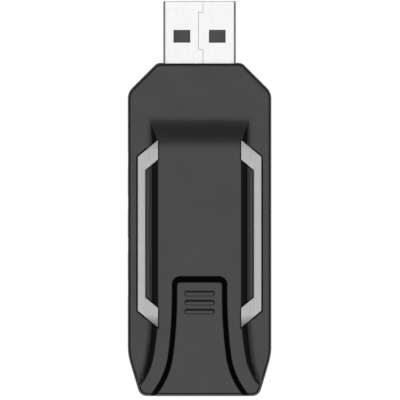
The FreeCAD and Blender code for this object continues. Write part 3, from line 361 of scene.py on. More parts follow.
def new_group(name, inputs, outputs):
    """An empty node group with named sockets, and its input and output nodes."""
    group = bpy.data.node_groups.new(name, "ShaderNodeTree")
    kinds = {"value": "NodeSocketFloat", "vector": "NodeSocketVector", "colour": "NodeSocketColor"}
    for label, kind in inputs.items():
        group.interface.new_socket(label, in_out="INPUT", socket_type=kinds[kind])
    for label, kind in outputs.items():
        group.interface.new_socket(label, in_out="OUTPUT", socket_type=kinds[kind])
    return group, group.nodes.new("NodeGroupInput").outputs, group.nodes.new("NodeGroupOutput").inputs


def build_tone_group():
    """Slow changes of tone across a moulding or a sheet."""
    inputs = {"Place": "vector", "Colour": "colour", "Patch": "value", "Amount": "value"}
    group, given, out = new_group("Tone variation", inputs, {"Colour": "colour"})
    frequency = compute(group, "DIVIDE", 1.0, given["Patch"])
    cloud = noise(group, given["Place"], frequency, detail=3.0, roughness=0.6)
    swing = multiply(group, compute(group, "SUBTRACT", cloud, 0.5), given["Amount"])
    gain = compute(group, "ADD", 1.0, multiply(group, swing, 2.0))
    toned = add_node(group, "ShaderNodeVectorMath", {0: given["Colour"], "Scale": gain}, operation="SCALE")
    connect(group, out["Colour"], toned.outputs[0])


def build_grain_group():
    """The fine grain that a mould leaves, with a slow change in how matt it is."""
    group, given, out = new_group("Moulded grain", {"Place": "vector", "Grain": "value"},
                                  {"Height": "value", "Mottle": "value"})
    frequency = compute(group, "DIVIDE", 1.0, given["Grain"])
    fine = noise(group, given["Place"], frequency, detail=2.0, roughness=0.55)
    pits = add_node(group, "ShaderNodeTexVoronoi",
                    {"Vector": given["Place"], "Scale": multiply(group, frequency, PIT_RATE)},
                    feature="SMOOTH_F1").outputs["Distance"]
    height = compute(group, "ADD", multiply(group, fine, FINE_SHARE), multiply(group, pits, PIT_SHARE))
    connect(group, out["Height"], height)
    slow = multiply(group, frequency, MOTTLE_RATE)
    connect(group, out["Mottle"], noise(group, given["Place"], slow, detail=3.0, roughness=0.6))


def build_wear_group():
    """Where handling has rubbed the edges, broken up by noise, and the rounded run of the surface there."""
    group, given, out = new_group("Edge wear", {"Place": "vector", "Reach": "value", "Amount": "value"},
                                  {"Mask": "value", "Rounded": "vector"})
    rounded = add_node(group, "ShaderNodeBevel", {"Radius": given["Reach"]}, samples=4).outputs[0]
    plain = add_node(group, "ShaderNodeNewGeometry").outputs["Normal"]
    turn = add_node(group, "ShaderNodeVectorMath", {0: rounded, 1: plain},
                    operation="DOT_PRODUCT").outputs["Value"]
    edge = spread(group, turn, *EDGE_TURN)
    cloud = noise(group, given["Place"], 1.0 / RUB_PATCH, detail=4.0, roughness=0.65)
    patchy = multiply(group, edge, spread(group, cloud, *RUB_PATCHES))
    connect(group, out["Mask"], multiply(group, patchy, given["Amount"], clamp=True))
    connect(group, out["Rounded"], rounded)


def build_streak_group():
    """Fine lines that rolling and sliding leave along a metal sheet."""
    group, given, out = new_group("Rolled streaks", {"Place": "vector", "Pitch": "value", "Stretch": "value"},
                                  {"Height": "value", "Scratch": "value"})
    run = add_node(group, "ShaderNodeCombineXYZ",
                   {"X": 1.0, "Y": compute(group, "DIVIDE", 1.0, given["Stretch"]), "Z": 1.0}).outputs[0]
    drawn = add_node(group, "ShaderNodeVectorMath", {0: given["Place"], 1: run},
                     operation="MULTIPLY").outputs[0]
    frequency = compute(group, "DIVIDE", 1.0, given["Pitch"])
    marks = noise(group, drawn, multiply(group, frequency, MARK_RATE), detail=0.0)
    connect(group, out["Height"], noise(group, drawn, frequency, detail=3.0, roughness=0.6))
    connect(group, out["Scratch"], spread(group, marks, *SLIDING_MARKS))


def build_dust_group():
    """Specks that settle on faces that look up."""
    group, given, out = new_group("Settled dust", {"Place": "vector", "Speck": "value", "Amount": "value"},
                                  {"Mask": "value"})
    cells = add_node(group, "ShaderNodeTexVoronoi",
                     {"Vector": given["Place"], "Scale": compute(group, "DIVIDE", 1.0, given["Speck"])},
                     feature="F1").outputs["Distance"]
    upward = spread(group, axis(group, object_normal(group), "Z"), *DUST_TILT)
    specks = multiply(group, spread(group, cells, *DUST_SPECKS), upward)
    connect(group, out["Mask"], multiply(group, specks, given["Amount"], clamp=True))


GROUPS = {
    "Tone variation": build_tone_group,
    "Moulded grain": build_grain_group,
    "Edge wear": build_wear_group,
    "Rolled streaks": build_streak_group,
    "Settled dust": build_dust_group,
}


def use_group(tree, name, **feeds):
    """Places a shared group in a material, builds it if it is new, and returns its outputs."""
    if name not in bpy.data.node_groups:
        GROUPS[name]()
    made = tree.nodes.new("ShaderNodeGroup")
    made.node_tree = bpy.data.node_groups[name]
    for key, value in feeds.items():
        connect(tree, made.inputs[key], value)
    return made.outputs


def new_material(name, **values):
    """A material whose shader has these plain values."""
    material = bpy.data.materials.new(name)
    material.use_nodes = True
    tree = material.node_tree
    shader = tree.nodes["Principled BSDF"].inputs
    for key, value in values.items():
        connect(tree, shader[key.replace("_", " ")], value)
    return material, tree, shader


def vary_tone(tree, place, tint, patch, amount):
    """A colour with slow changes of tone."""
    return use_group(tree, "Tone variation", Place=place, Colour=tint, Patch=patch, Amount=amount)["Colour"]


def vary_roughness(tree, pattern, roughness, less, more):
    """How matt a surface is, which a noise pattern moves down by less and up by more."""
    return spread(tree, pattern, *NOISE_RANGE, roughness - less, roughness + more)


def add_bump(tree, shader, height, depth, rounded=None):
    """Raises the surface by a height map whose full swing is depth metres.

    rounded is the rounded run of the surface at the edges, if the bump lies over it.
    """
    bump = add_node(tree, "ShaderNodeBump", {"Height": height, "Distance": depth, "Strength": 1.0})
    if rounded:
        connect(tree, bump.inputs["Normal"], rounded)
    connect(tree, shader["Normal"], bump.outputs[0])


# Finishes
def moulded_plastic(name, tint, roughness, refraction, grain, grain_depth, wear, dust=0.0, gloss=0.5,
                    rounding=0.16 * MM):
    """Satin moulded plastic with a fine grain, rubbed edges and a little dust."""
    material, tree, shader = new_material(name, IOR=refraction, Specular_IOR_Level=gloss)
    place = object_place(tree)
    tone = vary_tone(tree, place, tint, patch=5 * MM, amount=0.16)
    grained = use_group(tree, "Moulded grain", Place=place, Grain=grain)
    edges = use_group(tree, "Edge wear", Place=place, Reach=rounding, Amount=wear)
    specks = use_group(tree, "Settled dust", Place=place, Speck=DUST_SIZE, Amount=dust)["Mask"]
    rubbed = blend_colours(tree, edges["Mask"], tone, scale_colour(tint, gain=2.2, lift=0.012))
    connect(tree, shader["Base Color"], blend_colours(tree, specks, rubbed, DUST_COLOUR))
    matt = vary_roughness(tree, grained["Mottle"], roughness, less=0.05, more=0.05)
    polished = compute(tree, "ADD", matt, multiply(tree, edges["Mask"], -RUB_POLISH))
    connect(tree, shader["Roughness"], compute(tree, "MAXIMUM", polished, specks))
    add_bump(tree, shader, grained["Height"], grain_depth, edges["Rounded"])
    return material


def frosted_resin(name, tint, roughness):
    """Milky light-guiding resin, slightly cloudy, with a painted highlight that makes the arms paler and a
    painted shade that darkens it towards the two ends.
    """
    material, tree, shader = new_material(name, IOR=1.49, Subsurface_Weight=0.12, Subsurface_Scale=0.4 * MM)
    shader["Subsurface Radius"].default_value = (1.0, 1.0, 0.95)
    place = object_place(tree)
    tone = vary_tone(tree, place, tint, patch=2.5 * MM, amount=0.05)
    grained = use_group(tree, "Moulded grain", Place=place, Grain=0.1 * MM)
    edges = use_group(tree, "Edge wear", Place=place, Reach=0.12 * MM, Amount=0.8)
    across, along = axis(tree, place, "X"), axis(tree, place, "Y")
    # Painted highlight: the arms are made paler, as more light falling on them would make them.
    arm_highlight_mask = spread(tree, compute(tree, "ABSOLUTE", across), *ARM_HIGHLIGHT_START)
    arm_highlight_and_wear = blend_colours(tree, arm_highlight_mask, tone, scale_colour(tint, gain=1.28))
    arm_highlight_and_wear = blend_colours(tree, edges["Mask"], arm_highlight_and_wear, scale_colour(tint, gain=1.1))
    # Painted shade: the resin darkens towards the tail end and towards the plug end.
    start, end, shade = TAIL_PAINTED_SHADE
    tail_shade_mask = spread(tree, along, pipes_low.y + start, pipes_low.y + end, 0.0, shade)
    start, end, shade = PLUG_PAINTED_SHADE
    plug_shade_mask = spread(tree, along, pipes_high.y - start, pipes_high.y - end, 0.0, shade)
    end_shade_mask = compute(tree, "MAXIMUM", tail_shade_mask, plug_shade_mask)
    connect(tree, shader["Base Color"], blend_colours(tree, end_shade_mask, arm_highlight_and_wear, (0.0, 0.0, 0.0)))
    matt = vary_roughness(tree, grained["Mottle"], roughness, less=0.04, more=0.05)
    connect(tree, shader["Roughness"], matt)
    add_bump(tree, shader, grained["Height"], depth=0.0015 * MM, rounded=edges["Rounded"])
    return material


def bright_metal(name, tint, roughness, pitch, stretch, tarnish=0.05, side_shade=1.0):
    """Stamped or plated metal with rolling lines, sliding marks, a slight tarnish and, if asked, a painted
    shade on its sides.

    The last argument is how bright the sides stay under a painted shade on the faces that look sideways.
    """
    material, tree, shader = new_material(name, Metallic=1.0)
    place = object_place(tree)
    tone = vary_tone(tree, place, tint, patch=2.2 * MM, amount=tarnish)
    lines = use_group(tree, "Rolled streaks", Place=place, Pitch=pitch, Stretch=stretch)
    rubbed = use_group(tree, "Edge wear", Place=place, Reach=0.1 * MM, Amount=0.3)["Mask"]
    worn_and_side_shaded = blend_colours(tree, multiply(tree, rubbed, RUB_TARNISH), tone, scale_colour(tint, gain=0.8))
    # Painted shade: faces that look sideways are darkened.
    if side_shade < 1.0:
        sideways = compute(tree, "ABSOLUTE", axis(tree, object_normal(tree), "X"))
        worn_and_side_shaded = blend_colours(tree, spread(tree, sideways, *SIDE_SHADE_TURN), worn_and_side_shaded, scale_colour(tint, side_shade))
    connect(tree, shader["Base Color"], worn_and_side_shaded)
    matt = vary_roughness(tree, lines["Height"], roughness, less=0.05, more=0.06)
    scratched = compute(tree, "ADD", matt, multiply(tree, lines["Scratch"], SCRATCH_MATT))
    connect(tree, shader["Roughness"], scratched)
    relief = compute(tree, "SUBTRACT", lines["Height"], multiply(tree, lines["Scratch"], SCRATCH_DEPTH))
    add_bump(tree, shader, relief, depth=0.0004 * MM)
    return material


def board_laminate(name, mask, fibre, low, high):
    """Solder mask over fine copper runs, with the bare glass weave on the rim between two heights."""
    material, tree, shader = new_material(name, IOR=1.5)
    place = object_place(tree)
    tone = vary_tone(tree, place, mask, patch=4 * MM, amount=0.12)
    flat = object_place(tree, (1.0, 1.0, 0.0), (0.1 * MM, 0.2 * MM, 0.0))
    nearest, second = (add_node(tree, "ShaderNodeTexVoronoi",
                                {"Vector": flat, "Scale": 1 / RUN_PITCH, "Randomness": 0.85},
                                feature=feature, distance="CHEBYCHEV").outputs["Distance"]
                       for feature in ("F1", "F2"))
    runs = spread(tree, compute(tree, "SUBTRACT", second, nearest), *COPPER_RUNS)
    pour = spread(tree, noise(tree, flat, 1.0 / POUR_SIZE, detail=1.0), *COPPER_POUR)
    copper = compute(tree, "MAXIMUM", runs, multiply(tree, pour, POUR_SHARE))
    surface = blend_colours(tree, copper, tone, scale_colour(mask, gain=1.9))
    weave = add_node(tree, "ShaderNodeTexWave",
                     {"Vector": place, "Scale": 1 / WEAVE_PITCH, "Distortion": 1.5},
                     bands_direction="DIAGONAL").outputs["Fac"]
    bare = blend_colours(tree, weave, fibre, scale_colour(fibre, gain=0.7))
    height = axis(tree, place, "Z")
    cut_edge = multiply(tree, compute(tree, "GREATER_THAN", height, low + MASK_SKIN),
                        compute(tree, "LESS_THAN", height, high - MASK_SKIN))
    connect(tree, shader["Base Color"], blend_colours(tree, cut_edge, surface, bare))
    connect(tree, shader["Roughness"], compute(tree, "ADD", BOARD_MATT, multiply(tree, cut_edge, RIM_MATT)))
    woven = multiply(tree, weave, multiply(tree, cut_edge, WEAVE_DEPTH))
    add_bump(tree, shader, compute(tree, "ADD", copper, woven), depth=0.02 * MM)
    return material


def package_epoxy(name, tint, mark_place=None):
    """Matt moulded epoxy with fine filler specks and, if it is given a place, a mark for the first pin."""
    material, tree, shader = new_material(name, IOR=1.55)
    place = object_place(tree)
    tone = vary_tone(tree, place, tint, patch=1.5 * MM, amount=0.15)
    grained = use_group(tree, "Moulded grain", Place=place, Grain=0.06 * MM)
    specks = spread(tree, noise(tree, place, 1.0 / EPOXY_SPECK, detail=1.0), *EPOXY_SPECKS)
    mottled = blend_colours(tree, multiply(tree, specks, EPOXY_SPECK_SHARE), tone,
                            scale_colour(tint, gain=3.0))
    height = grained["Height"]
    matt = vary_roughness(tree, grained["Mottle"], roughness=0.6, less=0.05, more=0.08)
    if mark_place:
        around = object_place(tree, (1.0, 1.0, 0.0), (*mark_place, 0.0))
        reach = add_node(tree, "ShaderNodeVectorMath", {0: around}, operation="LENGTH").outputs["Value"]
        mark = spread(tree, reach, *MARK_RADII)
        mottled = blend_colours(tree, mark, mottled, scale_colour(tint, gain=2.5))
        height = compute(tree, "SUBTRACT", height, multiply(tree, mark, MARK_DEPTH))
        matt = compute(tree, "SUBTRACT", matt, multiply(tree, mark, MARK_POLISH))
    connect(tree, shader["Base Color"], mottled)
    connect(tree, shader["Roughness"], matt)
    add_bump(tree, shader, height, depth=0.004 * MM)
    return material


def fired_ceramic(name, tint):
    """Dense fired ceramic with a faint speckle."""
    material, tree, shader = new_material(name, IOR=1.6)
    place = object_place(tree)
    tone = vary_tone(tree, place, tint, patch=0.8 * MM, amount=0.1)
    grained = use_group(tree, "Moulded grain", Place=place, Grain=0.05 * MM)
    specks = spread(tree, noise(tree, place, 1.0 / CERAMIC_SPECK, detail=2.0), *CERAMIC_SPECKS)
    speckled = blend_colours(tree, multiply(tree, specks, CERAMIC_SPECK_SHARE), tone,
                             scale_colour(tint, gain=0.6))
    connect(tree, shader["Base Color"], speckled)
    matt = vary_roughness(tree, grained["Mottle"], roughness=0.48, less=0.06, more=0.07)
    connect(tree, shader["Roughness"], matt)
    add_bump(tree, shader, grained["Height"], depth=0.002 * MM)
    return material


def pale_floor(tint):
    """A floor that shows white to the camera and in reflections, and keeps a soft shadow."""
    material, tree, _ = new_material("Pale floor", Base_Color=tint, Roughness=0.8)
    rays = add_node(tree, "ShaderNodeLightPath").outputs
    mirrored = compute(tree, "MAXIMUM", rays["Is Glossy Ray"], rays["Is Transmission Ray"])
    seen = compute(tree, "MAXIMUM", rays["Is Camera Ray"], mirrored)
    glow = add_node(tree, "ShaderNodeEmission", {"Color": (1.0, 1.0, 1.0), "Strength": FLOOR_GLOW}).outputs[0]
    mixed = add_node(tree, "ShaderNodeMixShader", {0: multiply(tree, seen, FLOOR_GLOW_SHARE)})
    tree.links.new(tree.nodes["Principled BSDF"].outputs[0], mixed.inputs[1])
    tree.links.new(glow, mixed.inputs[2])
    tree.links.new(mixed.outputs[0], tree.nodes["Material Output"].inputs["Surface"])
    return material


# Shapes
def whole_shape(node):
    """A CAD node's triangles merged into one closed mesh with whole flat faces."""
    shape = bmesh.new()
    shape.from_mesh(frame["nodes"][node].data)
    bmesh.ops.remove_doubles(shape, verts=shape.verts[:], dist=MERGE_DISTANCE)
    bmesh.ops.dissolve_limit(shape, angle_limit=FLAT_ANGLE, verts=shape.verts[:], edges=shape.edges[:])
    bmesh.ops.dissolve_degenerate(shape, dist=SHORTEST, edges=shape.edges[:])
    return shape


def is_sharp(edge, angle=EDGE_ANGLE):
    """Whether the two faces at an edge meet at a clear angle."""
    return len(edge.link_faces) == 2 and edge.calc_face_angle(0.0) > angle


def is_ridge(edge):
    """Whether an edge is sharp and stands out."""
    return is_sharp(edge) and edge.is_convex


def is_hollow(edge):
    """Whether an edge is a slight bend inwards, as in the hollow at a wall's foot."""
    low, high = HOLLOW_ANGLES
    return len(edge.link_faces) == 2 and not edge.is_convex and low < edge.calc_face_angle(0.0) < high


def between(low, high):
    """A test for edges that lie between two heights."""
    return lambda edge: all(low < v.co.z < high for v in edge.verts)


def at(height, reach=LEVEL):
    """A test for edges that lie at a height."""
    return between(height - reach, height + reach)


def steepest(edge):
    """How upright the steeper face at an edge is: 0 for a wall, 1 for a floor."""
    return min(abs(face.normal.z) for face in edge.link_faces)


def is_near_pipe(edge):
    """Whether an edge lies in or beside a light pipe, seen from above."""
    middle = (edge.verts[0].co + edge.verts[1].co) / 2
    return any(low.x - RIM_REACH < middle.x < high.x + RIM_REACH and
               low.y - RIM_REACH < middle.y < high.y + RIM_REACH for low, high in pipes)


def borders_deck(edge):
    """Whether one of an edge's faces is the deck, and not a small level one."""
    return any(face.normal.z > FLOOR and face.calc_area() > DECK_AREA for face in edge.link_faces)


def borders_top(edge):
    """Whether one of an edge's faces looks up."""
    return any(face.normal.z > LOOKS_UP for face in edge.link_faces)


def is_ramp_edge(edge):
    """Whether the steeper face at an edge is a slope."""
    return SLOPE[0] < steepest(edge) < SLOPE[1]


def is_wall_top(edge):
    """Whether an edge tops a wall of the spine or the well, clear of the light pipes and of the tail."""
    return (steepest(edge) < WALL and not is_near_pipe(edge)
            and all(v.co.y > tail + TAIL_MARGIN for v in edge.verts))


def pick(shape, *tests):
    """The edges that pass every test."""
    return [edge for edge in shape.edges if all(test(edge) for test in tests)]


def soften(shape, edges, width, segments=2):
    """Rounds these edges."""
    bmesh.ops.bevel(shape, geom=edges, offset=width, offset_type="OFFSET", segments=segments, profile=0.5,
                    affect="EDGES", clamp_overlap=False, material=-1, loop_slide=True)


def add_object(name, content):
    """A new object in the scene that holds this mesh, lamp or camera."""
    made = bpy.data.objects.new(name, content)
    bpy.context.scene.collection.objects.link(made)
    return made


def add_mesh(shape, name, *materials):
    """A new object with this shape and these materials."""
    mesh = bpy.data.meshes.new(name)
    shape.to_mesh(mesh)
    shape.free()
    for material in materials:
        mesh.materials.append(material)
    return add_object(name, mesh)


def finish_shape(shape, name, node, slot, *materials, crease=EDGE_ANGLE):
    """Makes a shape the piece that stands for its CAD node and moves with that node's body."""
    for edge in shape.edges:
        edge.smooth = not is_sharp(edge, crease)
    for face in shape.faces:
        face.smooth = True
    piece = add_mesh(shape, name, *materials)
    weighted = piece.modifiers.new("Flat faces stay flat", "WEIGHTED_NORMAL")
    weighted.keep_sharp = True
    weighted.mode = "FACE_AREA"
    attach(piece, frame["nodes"][node]["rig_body"])
    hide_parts(node)


def dome(shape, faces, rise, half_width, steps):
    """Rounds flat tops over: each inset ring goes to the height that an arc has there."""
    radius = (half_width ** 2 + rise ** 2) / (2 * rise)
    for face in faces:
        foot, reached = face.verts[0].co.z - rise, 0.0
        for step in (*steps, None):
            height = math.sqrt(radius ** 2 - (half_width - reached) ** 2) - radius + rise
            for corner in face.verts:
                corner.co.z = foot + max(height, LEAST_RISE)
            if step:
                bmesh.ops.inset_region(shape, faces=[face], thickness=step, use_even_offset=True)
                reached += step


def paint(material, *nodes):
    """Gives CAD nodes a finished material."""
    for node in nodes:
        for slot in frame["nodes"][node].material_slots:
            slot.material = material


# Which face gets which plastic
def part_faces(shape, is_pocket, is_outer=lambda place: False):
    """Sorts faces into satin, pockets and steep walls that take a painted shade, upright walls and the
    rounded edges between them.
    """
    for face in shape.faces:
        place, tilt = face.calc_center_median(), abs(face.normal.z)
        # Painted shade: pockets and steep walls get the darker plastic.
        if is_pocket(face, place):
            face.material_index = SHADED
        elif tilt < UPRIGHT:
            face.material_index = TEXTURED
        elif tilt < (OUTER_STEEP if is_outer(place) else STEEP):
            face.material_index = ROUNDED


def is_inboard(place):
    """Whether a place is inside the housing's outer walls, among the light pipes and the button's well."""
    if place.y > pipes_low.y - SLOT_MARGIN:
        half_width = cover_high.x - SIDE_BAND
    else:
        half_width = button_high.x + WELL_GAP
    return abs(place.x) < half_width and tail + RIM_REACH < place.y < pipes_high.y + SLOT_MARGIN


def is_corner(place):
    """Whether a place is at one of the tail's two corners."""
    return abs(place.x) > cover_high.x - CORNER_INSET and place.y < tail + CORNER_BAND


def is_tail_edge(face, place):
    """Whether a face belongs to the rounding above the tail's wall."""
    return place.y < tail + RIM_BAND and UPRIGHT < face.normal.z < OUTER_STEEP


def is_cover_pocket(face, place):
    """Whether a face is a floor below the deck, or a steep wall above it or inside the outer walls, which
    gets the painted shade.
    """
    tilt = abs(face.normal.z)
    if place.y < tail + RIM_REACH or (is_corner(place) and tilt < UPRIGHT):
        return is_tail_edge(face, place)
    if place.z < deck - POCKET_DEPTH and face.normal.z > STEEP:
        return True
    if place.y < pipes_low.y and deck < place.z < deck + FLARE_FOOT:
        return False
    steep = RAMP_STEEP if place.y > pipes_high.y else STEEP
    return tilt < steep and (place.z > deck or is_inboard(place))


def is_cover_rim(place):
    """Whether a place is below the deck, or high up on the rounding of the tail's end."""
    return place.z < deck or (place.z > deck + CORNER_RISE and place.y < tail + CORNER_BAND)


def is_rear_pocket(face, place):
    """Whether a face is a floor inside the rear cover, which gets the painted shade."""
    return face.normal.z > STEEP and place.z < PARTING


def is_key_pocket(face, place):
    """Whether a face of the button is its tail rounding or deep in the gap round it, which gets the painted
    shade.
    """
    return is_tail_edge(face, place) or (place.z < rim - KEY_DEPTH and place.y > tail + RIM_BAND)


def cover_plastics(context, name):
    """The black plastic's finishes: the satin one, then the rounded one, then a darker copy that paints shade
    on walls, pockets and gaps, then the textured one.
    """
    sizes = context.scene.dongle_covers
    coarse = dict(roughness=0.6, grain_depth=0.006 * MM, wear=0.3, gloss=sizes.side_gloss)
    finishes = (
        ("Satin", sizes.plastic,
         dict(roughness=sizes.roughness, grain_depth=sizes.grain_depth, wear=0.3, dust=0.06)),
        ("Rounded", sizes.plastic, coarse),
        # Painted shade: a darker copy of the plastic for the steep walls, pockets and gaps.
        ("Shaded", sizes.pocket,
         dict(roughness=0.6, grain_depth=0.005 * MM, wear=0.0, gloss=sizes.pocket_gloss)),
        ("Textured", sizes.side, coarse),
    )
    return [moulded_plastic(f"{finish} {name}", tint, refraction=sizes.refraction, grain=sizes.grain,
                            rounding=sizes.rounding, **values) for finish, tint, values in finishes]


# Operators
class DONGLE_OT_covers(bpy.types.Operator):
    """Finish the front and rear covers"""
    bl_idname = "dongle.covers"
    bl_label = "Covers"

    def execute(self, context):
        sizes = context.scene.dongle_covers
        plastics = cover_plastics(context, "cover plastic")
        shape = whole_shape("front_cover")
        for width, segments, tests in (
                (sizes.foot, 3, (is_hollow, between(deck + LEVEL, deck + HOLLOW_TOP))),
                (sizes.slot_rim, 3, (is_ridge, at(deck), is_near_pipe, borders_deck)),
                (sizes.edge, 2, (is_ridge, at(top), is_ramp_edge)),
                (sizes.edge, 2, (is_ridge, at(top), is_wall_top)),
                (sizes.parting_edge, 2, (is_ridge, at(PARTING, PARTING_REACH)))):
            soften(shape, pick(shape, *tests), width, segments)
        part_faces(shape, is_cover_pocket, is_cover_rim)
        finish_shape(shape, "moulded_front_cover", "front_cover", "cover_plastic", *plastics)
        shape = whole_shape("rear_cover")
        soften(shape, pick(shape, is_ridge, at(PARTING, PARTING_REACH)), sizes.parting_edge)
        soften(shape, pick(shape, is_ridge, between(-math.inf, REAR_BAND)), sizes.rear_edge, 3)
        part_faces(shape, is_rear_pocket)
        finish_shape(shape, "moulded_rear_cover", "rear_cover", "cover_plastic", *plastics)
        return {"FINISHED"}


class DONGLE_OT_button(bpy.types.Operator):
    """Finish the ribbed button"""
    bl_idname = "dongle.button"
    bl_label = "Button"

    def execute(self, context):
        sizes = context.scene.dongle_button
        shape = whole_shape("pairing_button")
        soften(shape, pick(shape, is_ridge, at(rim)), sizes.edge)
        part_faces(shape, is_key_pocket)
        ribs = [face for face in shape.faces
                if face.normal.z > FLOOR and face.calc_center_median().z > button_high.z - LEVEL]
        dome(shape, ribs, RIB_HEIGHT, sizes.rib_width / 2, [sizes.rib_width * step for step in RIB_STEPS])
        for face in shape.faces:
            steep = RIB_STEEP[face.normal.y > 0]
            if face.calc_center_median().z > rim + MERGE_DISTANCE and face.normal.z < steep:
                face.material_index = ROUNDED
        finish_shape(shape, "ribbed_button", "pairing_button", "cover_plastic",
                     *cover_plastics(context, "button plastic"))
        return {"FINISHED"}


class DONGLE_OT_light_pipes(bpy.types.Operator):
    """Finish the two light pipes"""
    bl_idname = "dongle.light_pipes"
    bl_label = "Light pipes"

    def execute(self, context):
        sizes = context.scene.dongle_pipes
        resin = frosted_resin("Frosted resin", sizes.resin, sizes.roughness)
        for node, name in (("left_light_pipe", "left_strip"), ("right_light_pipe", "right_strip")):
            shape = whole_shape(node)
            soften(shape, pick(shape, is_ridge, borders_top), sizes.edge)
            finish_shape(shape, name, node, "light_pipe", resin)
        return {"FINISHED"}


class DONGLE_OT_plug(bpy.types.Operator):
    """Finish the plug's shell, insulator and contacts"""
    bl_idname = "dongle.plug"
    bl_label = "Plug"

    def execute(self, context):
        sizes = context.scene.dongle_plug
        # The shell's sides get a painted shade.
        steel = bright_metal("Bright rolled steel", sizes.steel, sizes.roughness, pitch=0.05 * MM,
                             stretch=30.0, side_shade=0.35)
        low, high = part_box("plug_shell")

        def is_clear(edge):
            """Whether an edge is clear of the seam and of the plug's tip."""
            return all(abs(v.co.x) > SEAM_BAND and v.co.y < high.y - SEAM_BAND for v in edge.verts)

        shape = whole_shape("plug_shell")
        for level in (high.z, low.z):
            soften(shape, pick(shape, is_ridge, at(level), is_clear), sizes.edge)
        finish_shape(shape, "folded_shell", "plug_shell", "plug_steel", steel, crease=CHAMFER_ANGLE)
        paint(moulded_plastic("Insulator plastic", sizes.insulator, roughness=0.5, refraction=1.6,
                              grain=0.1 * MM, grain_depth=0.004 * MM, wear=0.2), "plug_insulator")
        paint(bright_metal("Plated contact", sizes.contact, roughness=0.22, pitch=0.03 * MM, stretch=25.0,
                           tarnish=0.08), *(f"plug_contact_{number}" for number in range(1, CONTACTS + 1)))
        return {"FINISHED"}


class DONGLE_OT_board(bpy.types.Operator):
    """Finish the circuit board and the parts on it"""
    bl_idname = "dongle.board"
    bl_label = "Board"

    def execute(self, context):
        sizes = context.scene.dongle_board
        low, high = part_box("circuit_board")
        paint(board_laminate("Board laminate", sizes.mask, sizes.fibre, low.z, high.z), "circuit_board")
        for node in ("controller_chip", "memory_chip", "radio_chip", "voltage_regulator"):
            low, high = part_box(node)
            mark_place = (low.x + MARK_INSET, high.y - MARK_INSET)
            paint(package_epoxy(f"Epoxy of {node}", sizes.package, mark_place), node)
        paint(package_epoxy("Resistor glaze", sizes.package), "resistors")
        paint(package_epoxy("Pressed powder", scale_colour(sizes.package, 1.6)), "power_inductor")
        paint(bright_metal("Stamped can", sizes.can, roughness=0.32, pitch=0.06 * MM, stretch=12.0),
              "radio_shield", "clock_crystal")
        for node in ("capacitors", "chip_antenna"):
            paint(fired_ceramic(f"Ceramic of {node}", sizes.ceramic), node)
        paint(moulded_plastic("Lamp resin", sizes.lamp, roughness=0.3, refraction=1.5,
                              grain=0.08 * MM, grain_depth=0.001 * MM, wear=0.1),
              *(f"{side}_{end}_lamp" for side in ("left", "right") for end in ("front", "rear")))
        return {"FINISHED"}


class DONGLE_OT_switch(bpy.types.Operator):
    """Finish the push switch under the button"""
    bl_idname = "dongle.switch"
    bl_label = "Switch"

    def execute(self, context):
        sizes = context.scene.dongle_switch
        paint(moulded_plastic("Switch plastic", sizes.base, roughness=0.48, refraction=1.55,
                              grain=0.08 * MM, grain_depth=0.003 * MM, wear=0.4),
              "switch_base", "switch_plunger")
        paint(bright_metal("Switch sheet", sizes.cover, roughness=0.3, pitch=0.05 * MM, stretch=10.0),
              "switch_cover", "switch_dome", "switch_terminals")
        return {"FINISHED"}


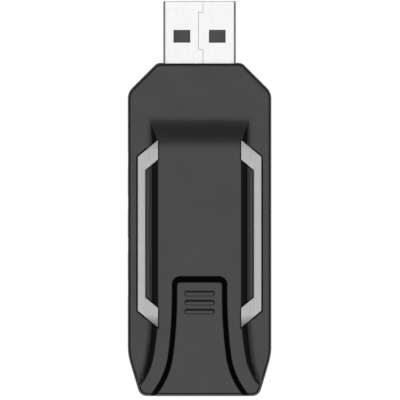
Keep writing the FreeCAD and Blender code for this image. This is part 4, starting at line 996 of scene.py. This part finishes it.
class DONGLE_OT_stage(bpy.types.Operator):
    """Set up the floor, the lamp, the surroundings and the camera"""
    bl_idname = "dongle.stage"
    bl_label = "Stage"

    def execute(self, context):
        scene, sizes = context.scene, context.scene.dongle_stage
        shape = bmesh.new()
        bmesh.ops.create_grid(shape, x_segments=1, y_segments=1, size=sizes.floor_size / 2)
        bmesh.ops.translate(shape, verts=shape.verts[:], vec=(0.0, 0.0, -FLOOR_GAP))
        add_mesh(shape, "floor", pale_floor(sizes.floor))

        lamp = bpy.data.lights.new("overhead_lamp", "AREA")
        lamp.shape, lamp.size, lamp.size_y = "RECTANGLE", sizes.lamp_width, sizes.lamp_length
        lamp.energy = sizes.lamp_level * math.pi * sizes.lamp_width * sizes.lamp_length
        stand = add_object("overhead_lamp", lamp)
        stand.location = (0.0, -sizes.lamp_shift, sizes.lamp_height)
        stand.visible_camera = False

        scene.world = bpy.data.worlds.new("surroundings")
        scene.world.use_nodes = True
        tree = scene.world.node_tree
        seen = add_node(tree, "ShaderNodeLightPath").outputs["Is Camera Ray"]
        sky = tree.nodes["Background"].inputs
        connect(tree, sky["Color"], (1.0, 1.0, 1.0))
        connect(tree, sky["Strength"], spread(tree, seen, 0.0, 1.0, sizes.surround, 1.0))

        lens = bpy.data.cameras.new("camera")
        lens.type, lens.ortho_scale = "ORTHO", sizes.view_width
        lens.clip_start, lens.clip_end = CAMERA_RANGE
        scene.camera = add_object("camera", lens)
        scene.camera.location = (sizes.view_x, sizes.view_y, CAMERA_HEIGHT)
        scene.view_settings.view_transform = "Standard"
        return {"FINISHED"}


class DONGLE_PT_panel(bpy.types.Panel):
    """Lists the dongle's settings and the steps that finish it"""
    bl_idname = "DONGLE_PT_panel"
    bl_label = "Dongle"
    bl_space_type = "VIEW_3D"
    bl_region_type = "UI"
    bl_category = "Dongle"

    def draw(self, context):
        for prefix, group, steps in SECTIONS:
            box = self.layout.box()
            settings = getattr(context.scene, prefix)
            for name in group.__annotations__:
                box.prop(settings, name)
            for step in steps:
                box.operator(step.bl_idname)


SECTIONS = (
    ("dongle_covers", DongleCovers, (DONGLE_OT_covers,)),
    ("dongle_button", DongleButton, (DONGLE_OT_button,)),
    ("dongle_pipes", DonglePipes, (DONGLE_OT_light_pipes,)),
    ("dongle_plug", DonglePlug, (DONGLE_OT_plug,)),
    ("dongle_board", DongleBoard, (DONGLE_OT_board,)),
    ("dongle_switch", DongleSwitch, (DONGLE_OT_switch,)),
    ("dongle_stage", DongleStage, (DONGLE_OT_stage,)),
)


def register():
    """Adds the settings, the steps and the panel to Blender."""
    for prefix, group, steps in SECTIONS:
        bpy.utils.register_class(group)
        setattr(bpy.types.Scene, prefix, bpy.props.PointerProperty(type=group))
        for step in steps:
            bpy.utils.register_class(step)
    bpy.utils.register_class(DONGLE_PT_panel)


def unregister():
    """Takes the panel, the steps and the settings out again, last first."""
    bpy.utils.unregister_class(DONGLE_PT_panel)
    for prefix, group, steps in reversed(SECTIONS):
        for step in steps:
            bpy.utils.unregister_class(step)
        delattr(bpy.types.Scene, prefix)
        bpy.utils.unregister_class(group)


def main():
    """Finishes every piece in order."""
    register()
    bpy.ops.dongle.covers()
    bpy.ops.dongle.button()
    bpy.ops.dongle.light_pipes()
    bpy.ops.dongle.plug()
    bpy.ops.dongle.board()
    bpy.ops.dongle.switch()
    bpy.ops.dongle.stage()


if __name__ == "__main__":
    main()
